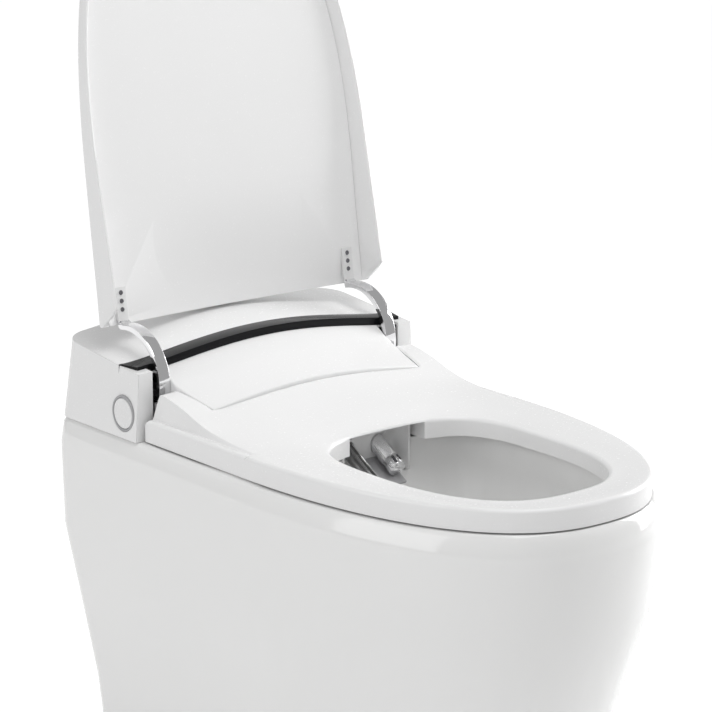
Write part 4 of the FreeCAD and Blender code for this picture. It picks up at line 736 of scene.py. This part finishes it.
def lid_disc(inset, height, rear_inset=0.0, shares=22):
    """Rings from an inset outline in to the middle of a face."""
    middle_y = -250.0
    rings = []
    for k in range(shares):
        s = 1.0 - k / shares
        ring = [(x * s, middle_y + (y - middle_y) * s) for x, y in lid_plan(inset, rear_inset)]
        rings.append([at(x, y, height(x, y)) for x, y in ring])
    return rings


def lid_rim_height(x, y):
    """Lower edge of the lid's side wall: level, leaning up at its rear ends, and open across the back."""
    roof = lid_inner_height(x, y) + 0.6
    if y > LID_REAR_Y - 1.0 and abs(x) < LID_HALF - LID_FOLD:
        return roof
    rise = (y - (LID_REAR_Y - LID_REAR_SLANT)) / LID_REAR_SLANT * LID_REAR_RISE
    return min(LID_RIM_Z + max(rise, 0.0), roof)


class TOILET_OT_lid(bpy.types.Operator):
    """Build the lid's outer shell and its inner panel"""

    bl_idname = "toilet.lid"
    bl_label = "Lid"

    def execute(self, context):
        roll = context.scene.toilet_sizes.lid_round * 1000

        def above(height, rise):
            return lambda x, y: height(x, y) + rise

        def blend_wall(share):
            return lambda x, y: lid_rim_height(x, y) * (1 - share) + (lid_inner_height(x, y) + LID_SKIN) * share

        # inner side of the wall, its lower edge, its outer side with the rounded edge, and the back
        rings = []
        for share in (1.0, 0.9, 0.7, 0.4, 0.1, 0.03):
            inset = LID_WALL + (LID_FOLD - LID_WALL) * share
            rings.append(lid_ring(inset, blend_wall(share)))
        for inset, rise in ((LID_WALL - 0.5, 0.0), (0.8, 0.0), (0.2, 0.3), (0.0, LID_SKIN)):
            rings.append(lid_ring(inset, above(lid_rim_height, rise)))
        for a in range(0, 91, 15):
            s, c = math.sin(math.radians(a)), math.cos(math.radians(a))
            rings.append(lid_ring(roll * (1 - c), above(lid_outer_height, -roll * (1 - s)),
                                  rear_inset=roll * (1 - c) * 0.5))
        rings += lid_disc(roll + 2, lid_outer_height, rear_inset=roll * 0.5 + 1)
        wall = loft(rings, caps=(False, True))
        roof = loft(lid_disc(LID_FOLD, above(lid_inner_height, LID_SKIN)), caps=(False, True))
        points, faces = join([wall, roof])
        shell = solid("lid_shell", turned_open(points), faces, angle=38)
        dress(shell, FINISH["white_plastic"], "lid", ["lid_outer"])

        inset = LID_FOLD + 0.5
        rings = [lid_ring(inset, above(lid_inner_height, 0.8)), lid_ring(inset, above(lid_inner_height, 0.35)),
                 lid_ring(inset + 0.35, lid_inner_height, rear_inset=0.35)]
        rings += lid_disc(inset + 2.0, lid_inner_height, rear_inset=2.0, shares=30)
        points, faces = loft(rings)
        panel = solid("lid_panel", turned_open(points), faces, angle=38)
        dress(panel, FINISH["white_plastic"], "lid", ["lid_inner"])
        return {"FINISHED"}


class TOILET_OT_bar(bpy.types.Operator):
    """Build the arched black accent bar"""

    bl_idname = "toilet.bar"
    bl_label = "Accent bar"

    def execute(self, context):
        r = context.scene.toilet_sizes.bar_round * 1000
        section = []
        corners = ((r, r, 180), (BAR_DEPTH - r, r, 270), (BAR_DEPTH - r, BAR_THICK - r, 0), (r, BAR_THICK - r, 90))
        for cy, cz, start in corners:
            for a in range(0, 91, 18):
                t = math.radians(start + a)
                section.append((cy + r * math.cos(t), cz + r * math.sin(t)))
        rings = []
        for i in range(121):
            share = -1 + 2 * i / 120
            ring = []
            for y, z in section:
                half = BAR_HALF_FRONT + (BAR_HALF_REAR - BAR_HALF_FRONT) * y / BAR_DEPTH
                x = share * half
                ring.append(at(x, y, BAR_BOTTOM + arch(x) + z))
            rings.append(ring)
        obj = solid("accent_strip", *loft(rings), angle=35)
        dress(obj, FINISH["black_gloss"], "root", ["accent_bar"])
        return {"FINISHED"}


class TOILET_OT_panel(bpy.types.Operator):
    """Build the arched slope between the bar and the seat"""

    bl_idname = "toilet.panel"
    bl_label = "Centre panel"

    def execute(self, context):
        r = 1.6
        edge = edge_insets(r, (0, 22, 45, 67, 90))
        rows = [PANEL_FRONT_Y + e for e in edge] + list(np.linspace(PANEL_FRONT_Y + 4, 0.4, 32))
        points, faces = [], []
        for y in rows:
            half = panel_half(y)
            line = [-half + e for e in edge] + list(np.linspace(-half + 5, half - 5, 60))
            line += [half - e for e in reversed(edge)]
            width = len(line)
            for x in line:
                z = reading(PANEL_TOP, y) + arch(x) - edge_drop(half - abs(x), r) - edge_drop(y - PANEL_FRONT_Y, r)
                z = min(z, BAR_BOTTOM + arch(x) - 0.2)
                points.append(at(x, y, z))
        for j in range(len(rows) - 1):
            for i in range(width - 1):
                a = j * width + i
                faces.append((a, a + 1, a + 1 + width, a + width))
        step_y = at(0, -60, 0).y
        slope = slab("panel_slope", points, faces, lambda v: at(0, 0, 20.0 if v.co.y > step_y else 22.0).z,
                     PANEL_ROOM, 40)
        dress(slope, FINISH["white_plastic"], "root", ["centre_panel"])
        return {"FINISHED"}


class TOILET_OT_button(bpy.types.Operator):
    """Build the side button and its ring"""

    bl_idname = "toilet.button"
    bl_label = "Side button"

    def execute(self, context):
        centre, out = at(*BUTTON), (-1, 0, 0)
        ring = [(-8.0, 16.9), (-8.0, 19.4), (0.0, 19.5), (0.45, 19.3), (0.7, 18.9), (0.75, 18.3), (0.7, 17.6),
                (0.3, 17.0), (-0.4, 16.8), (-6.0, 16.8)]
        trim = solid("button_trim", *lathe(centre, out, ring), angle=50)
        dress(trim, FINISH["button_grey"], "root", ["button_ring"])
        cap = [(-3.8, 0.5), (-3.8, 5.0), (-3.0, 5.0), (-3.0, 16.2), (-0.2, 16.4), (0.25, 16.25), (0.5, 15.8),
               (0.55, 15.0), (0.3, 8.0), (0.2, 0.5)]
        key = solid("button_key", *lathe(centre, out, cap), angle=40)
        dress(key, FINISH["button_pale"], "button", ["button_cap"])
        return {"FINISHED"}


class TOILET_OT_screws(bpy.types.Operator):
    """Set the hinge screws on both plates with a node tree"""

    bl_idname = "toilet.screws"
    bl_label = "Hinge screws"

    def execute(self, context):
        size = context.scene.toilet_sizes
        head_height = 0.0012
        tree = bpy.data.node_groups.new("Screw row", "GeometryNodeTree")
        face = tree.interface
        face.new_socket("Geometry", in_out="INPUT", socket_type="NodeSocketGeometry")
        wanted = {}
        for label, kind in (("Count", "Int"), ("Step", "Vector"), ("Start", "Vector"), ("Turn", "Vector"),
                            ("Head radius", "Float")):
            wanted[label] = face.new_socket(label, in_out="INPUT", socket_type="NodeSocket" + kind).identifier
        face.new_socket("Geometry", in_out="OUTPUT", socket_type="NodeSocketGeometry")
        nodes, links = tree.nodes, tree.links
        source = nodes.new("NodeGroupInput")
        result = nodes.new("NodeGroupOutput")
        line = nodes.new("GeometryNodeMeshLine")
        line.mode = "OFFSET"
        links.new(source.outputs["Count"], line.inputs["Count"])
        links.new(source.outputs["Start"], line.inputs["Start Location"])
        links.new(source.outputs["Step"], line.inputs["Offset"])
        head = nodes.new("GeometryNodeMeshCone")
        head.inputs["Vertices"].default_value = 32
        head.inputs["Depth"].default_value = head_height
        links.new(source.outputs["Head radius"], head.inputs["Radius Bottom"])
        small = nodes.new("ShaderNodeMath")
        small.operation = "MULTIPLY"
        small.inputs[1].default_value = 0.72
        links.new(source.outputs["Head radius"], small.inputs[0])
        links.new(small.outputs["Value"], head.inputs["Radius Top"])
        parts = [head.outputs["Mesh"]]
        for width, depth in ((0.0031, 0.0006), (0.0006, 0.0031)):
            slot_box = nodes.new("GeometryNodeMeshCube")
            slot_box.inputs["Size"].default_value = (width, depth, 0.0004)
            lift = nodes.new("GeometryNodeTransform")
            lift.inputs["Translation"].default_value = (0, 0, head_height - 0.00002)
            links.new(slot_box.outputs["Mesh"], lift.inputs["Geometry"])
            parts.append(lift.outputs["Geometry"])
        both = nodes.new("GeometryNodeJoinGeometry")
        for part in parts:
            links.new(part, both.inputs["Geometry"])
        place = nodes.new("GeometryNodeInstanceOnPoints")
        turn = nodes.new("FunctionNodeEulerToRotation")
        links.new(source.outputs["Turn"], turn.inputs["Euler"])
        links.new(line.outputs["Mesh"], place.inputs["Points"])
        links.new(both.outputs["Geometry"], place.inputs["Instance"])
        links.new(turn.outputs["Rotation"], place.inputs["Rotation"])
        real = nodes.new("GeometryNodeRealizeInstances")
        paint = nodes.new("GeometryNodeSetMaterial")
        paint.inputs["Material"].default_value = FINISH["screw_steel"]
        links.new(place.outputs["Instances"], real.inputs["Geometry"])
        links.new(real.outputs["Geometry"], paint.inputs["Geometry"])
        links.new(paint.outputs["Geometry"], result.inputs["Geometry"])

        gaps = max(size.screw_count - 1, 1)
        lean = math.radians(LID_OPEN) - math.atan2(*PLATE_SLOPE)
        along = Vector((0, -math.cos(lean), math.sin(lean)))
        facing = Vector((0, -math.sin(lean), -math.cos(lean)))
        seen = frame["nodes"]["lid_screws"].data.vertices
        meshes = []
        for hand in (-1, 1):
            near = [v.co for v in seen if v.co.x * hand > 0]
            middle = sum(near, Vector()) / len(near)
            bottom = min(near, key=lambda p: p.z).z
            top = max(near, key=lambda p: p.z).z
            length = (top - bottom) / abs(along.z) - 2 * size.screw_radius
            step = along * (length / gaps)
            base = middle - facing * 0.0004
            holder = bpy.data.objects.new("screw_holder", bpy.data.meshes.new("screw_holder"))
            context.collection.objects.link(holder)
            row = holder.modifiers.new("Screw row", "NODES")
            row.node_group = tree
            row[wanted["Count"]] = size.screw_count
            row[wanted["Step"]] = tuple(step)
            row[wanted["Start"]] = tuple(base - step * (size.screw_count - 1) / 2)
            row[wanted["Turn"]] = tuple(facing.to_track_quat("Z", "Y").to_euler())
            row[wanted["Head radius"]] = size.screw_radius
            shown = holder.evaluated_get(context.evaluated_depsgraph_get())
            meshes.append(bpy.data.meshes.new_from_object(shown))
            bpy.data.objects.remove(holder)
        bm = bmesh.new()
        for mesh in meshes:
            bm.from_mesh(mesh)
        mesh = bpy.data.meshes.new("hinge_screw_heads")
        bm.to_mesh(mesh)
        bm.free()
        heads = placed("hinge_screw_heads", mesh, 20)
        dress(heads, FINISH["screw_steel"], "lid", ["lid_screws"])
        return {"FINISHED"}


class TOILET_OT_metal(bpy.types.Operator):
    """Finish the chrome arms and wands with softened edges"""

    bl_idname = "toilet.metal"
    bl_label = "Arms and wands"

    def execute(self, context):
        plate_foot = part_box("lid_screws")[0][2] - PLATE_FOOT
        for side in ("left", "right"):
            node = "lid_arm_" + side
            arm = refined(node, angle=30, bevel=0.0012, flat=1.5)
            dress(arm, FINISH["chrome"], "lid", [node])
            arm.data.materials.append(FINISH["plate_pale"])
            for face in arm.data.polygons:
                if face.center.z > plate_foot:
                    face.material_index = 1
        for body in ("rear_wand", "front_wand"):
            for node in (body, body + "_tip"):
                # the slim wand's chrome carries painted reflection bands in its colour
                finish = FINISH["chrome_painted_reflections"] if body == "rear_wand" else FINISH["chrome"]
                dress(refined(node, angle=30), finish, body, [node])
        x, radius, reach = FRONT_WAND
        for hand in (-1, 1):
            patch = oblong(x, radius + 0.12, reach - 12.5, reach - 4.0, 22.0 * hand, 1.7)
            slot = solid("wand_slot_%d" % hand, *patch)
            dress(slot, FINISH["dark_plastic"], "front_wand", [])
        return {"FINISHED"}


class TOILET_OT_cover(bpy.types.Operator):
    """Finish the rear unit's cover, back plate and spray housing"""

    bl_idname = "toilet.cover"
    bl_label = "Rear cover"

    def execute(self, context):
        for node in ("housing_shell", "rear_cover", "spray_housing", "seat_bottom"):
            body = "seat" if node == "seat_bottom" else "root"
            dress(refined(node, angle=25), FINISH["white_soft"], body, [node])
        return {"FINISHED"}


class TOILET_OT_inside(bpy.types.Operator):
    """Give every other frame solid the finish of its material slot"""

    bl_idname = "toilet.inside"
    bl_label = "Inner pieces"

    def execute(self, context):
        slots = {row["node"]: row["material_slot"] for row in frame["record"]["subparts"]}
        bodies = frame["record"]["behaviour"]["bodies"]
        home = {node: body for body, nodes in bodies.items() for node in nodes}
        round_ones = ("hinge_shafts", "water_heater", "spray_pump", "spray_hose", "supply_hose", "flush_pipe",
                      "flush_valve", "dryer_blower", "cable_gland", "inlet_nipple", "waste_seal", "lid_damper",
                      "seat_damper", "deck_bolts", "blower_wheel", "lid_bumpers", "seat_bumpers")
        for node, obj in frame["nodes"].items():
            if obj.hide_render:
                continue
            finish = FINISH[slots[node]]
            if node in round_ones:
                dress(refined(node, angle=28), finish, home[node], [node])
            else:
                obj.data.materials.clear()
                obj.data.materials.append(finish)
        return {"FINISHED"}


class TOILET_OT_stage(bpy.types.Operator):
    """Set the floor, the soft light and the camera"""

    bl_idname = "toilet.stage"
    bl_label = "Stage"

    def execute(self, context):
        scene = context.scene
        scene.view_settings.view_transform = "Standard"
        mesh = bpy.data.meshes.new("floor")
        corners = [(x * FLOOR_REACH, y * FLOOR_REACH, 0) for x, y in ((-1, -1), (1, -1), (1, 1), (-1, 1))]
        mesh.from_pydata(corners, [], [(0, 1, 2, 3)])
        floor = bpy.data.objects.new("floor", mesh)
        scene.collection.objects.link(floor)
        floor_paint = bpy.data.materials.new("Pale floor")
        floor_paint.use_nodes = True
        nodes, links = floor_paint.node_tree.nodes, floor_paint.node_tree.links
        nodes.clear()
        matt = nodes.new("ShaderNodeBsdfDiffuse")
        matt.inputs["Color"].default_value = (0.9, 0.9, 0.9, 1)
        glow = nodes.new("ShaderNodeEmission")
        glow.inputs["Color"].default_value = (1, 1, 1, 1)
        glow.inputs["Strength"].default_value = FLOOR_GLOW
        rays = nodes.new("ShaderNodeLightPath")
        either = nodes.new("ShaderNodeMath")
        either.operation = "MAXIMUM"
        links.new(rays.outputs["Is Camera Ray"], either.inputs[0])
        links.new(rays.outputs["Is Glossy Ray"], either.inputs[1])
        share = nodes.new("ShaderNodeMath")
        share.operation = "MULTIPLY"
        share.inputs[1].default_value = FLOOR_GLOW_SHARE
        links.new(either.outputs["Value"], share.inputs[0])
        mix = nodes.new("ShaderNodeMixShader")
        output = nodes.new("ShaderNodeOutputMaterial")
        links.new(share.outputs["Value"], mix.inputs["Fac"])
        links.new(matt.outputs["BSDF"], mix.inputs[1])
        links.new(glow.outputs["Emission"], mix.inputs[2])
        links.new(mix.outputs["Shader"], output.inputs["Surface"])
        mesh.materials.append(floor_paint)

        world = bpy.data.worlds.new("Studio")
        scene.world = world
        world.use_nodes = True
        background = world.node_tree.nodes["Background"]
        background.inputs["Color"].default_value = (1, 1, 1, 1)
        background.inputs["Strength"].default_value = SURROUND

        target = Vector(LIT_POINT)
        for name, place, width, power in LAMPS:
            lamp = bpy.data.lights.new(name, "AREA")
            lamp.size = width
            lamp.energy = power
            holder = bpy.data.objects.new(name, lamp)
            scene.collection.objects.link(holder)
            holder.location = place
            holder.rotation_euler = (target - Vector(place)).to_track_quat("-Z", "Y").to_euler()

        camera = bpy.data.cameras.new("camera")
        camera.sensor_width = 36.0
        camera.lens = CAMERA_LENS
        view = bpy.data.objects.new("camera", camera)
        scene.collection.objects.link(view)
        view.location = CAMERA_PLACE
        heading, pitch = math.radians(CAMERA_HEADING), math.radians(CAMERA_PITCH)
        look = Vector((math.sin(heading) * math.cos(pitch), math.cos(heading) * math.cos(pitch), -math.sin(pitch)))
        turn = look.to_track_quat("-Z", "Y")
        roll = Matrix.Rotation(math.radians(CAMERA_ROLL), 3, "Z").to_quaternion()
        view.rotation_mode = "QUATERNION"
        view.rotation_quaternion = turn @ roll
        scene.camera = view
        return {"FINISHED"}


class TOILET_PT_build(bpy.types.Panel):
    """Lists the sizes, the colours and the building steps"""

    bl_idname = "TOILET_PT_build"
    bl_label = "Heated Seat Toilet"
    bl_space_type = "VIEW_3D"
    bl_region_type = "UI"
    bl_category = "Toilet"

    def draw(self, context):
        layout = self.layout
        for group in (context.scene.toilet_sizes, context.scene.toilet_colours):
            column = layout.column(align=True)
            for name in group.__annotations__:
                column.prop(group, name)
        for step in STEPS:
            layout.operator(step.bl_idname)


STEPS = (TOILET_OT_ceramic, TOILET_OT_seat, TOILET_OT_lid, TOILET_OT_bar, TOILET_OT_panel, TOILET_OT_button,
         TOILET_OT_screws, TOILET_OT_metal, TOILET_OT_cover, TOILET_OT_inside, TOILET_OT_stage)
CLASSES = (ToiletSizes, ToiletColours) + STEPS + (TOILET_PT_build,)


def register():
    for item in CLASSES:
        bpy.utils.register_class(item)
    bpy.types.Scene.toilet_sizes = bpy.props.PointerProperty(type=ToiletSizes)
    bpy.types.Scene.toilet_colours = bpy.props.PointerProperty(type=ToiletColours)


def unregister():
    del bpy.types.Scene.toilet_colours
    del bpy.types.Scene.toilet_sizes
    for item in reversed(CLASSES):
        bpy.utils.unregister_class(item)


def main():
    register()
    finishes(bpy.context.scene.toilet_colours)
    for step in STEPS:
        group, name = step.bl_idname.split(".")
        getattr(getattr(bpy.ops, group), name)()


if __name__ == "__main__":
    main()
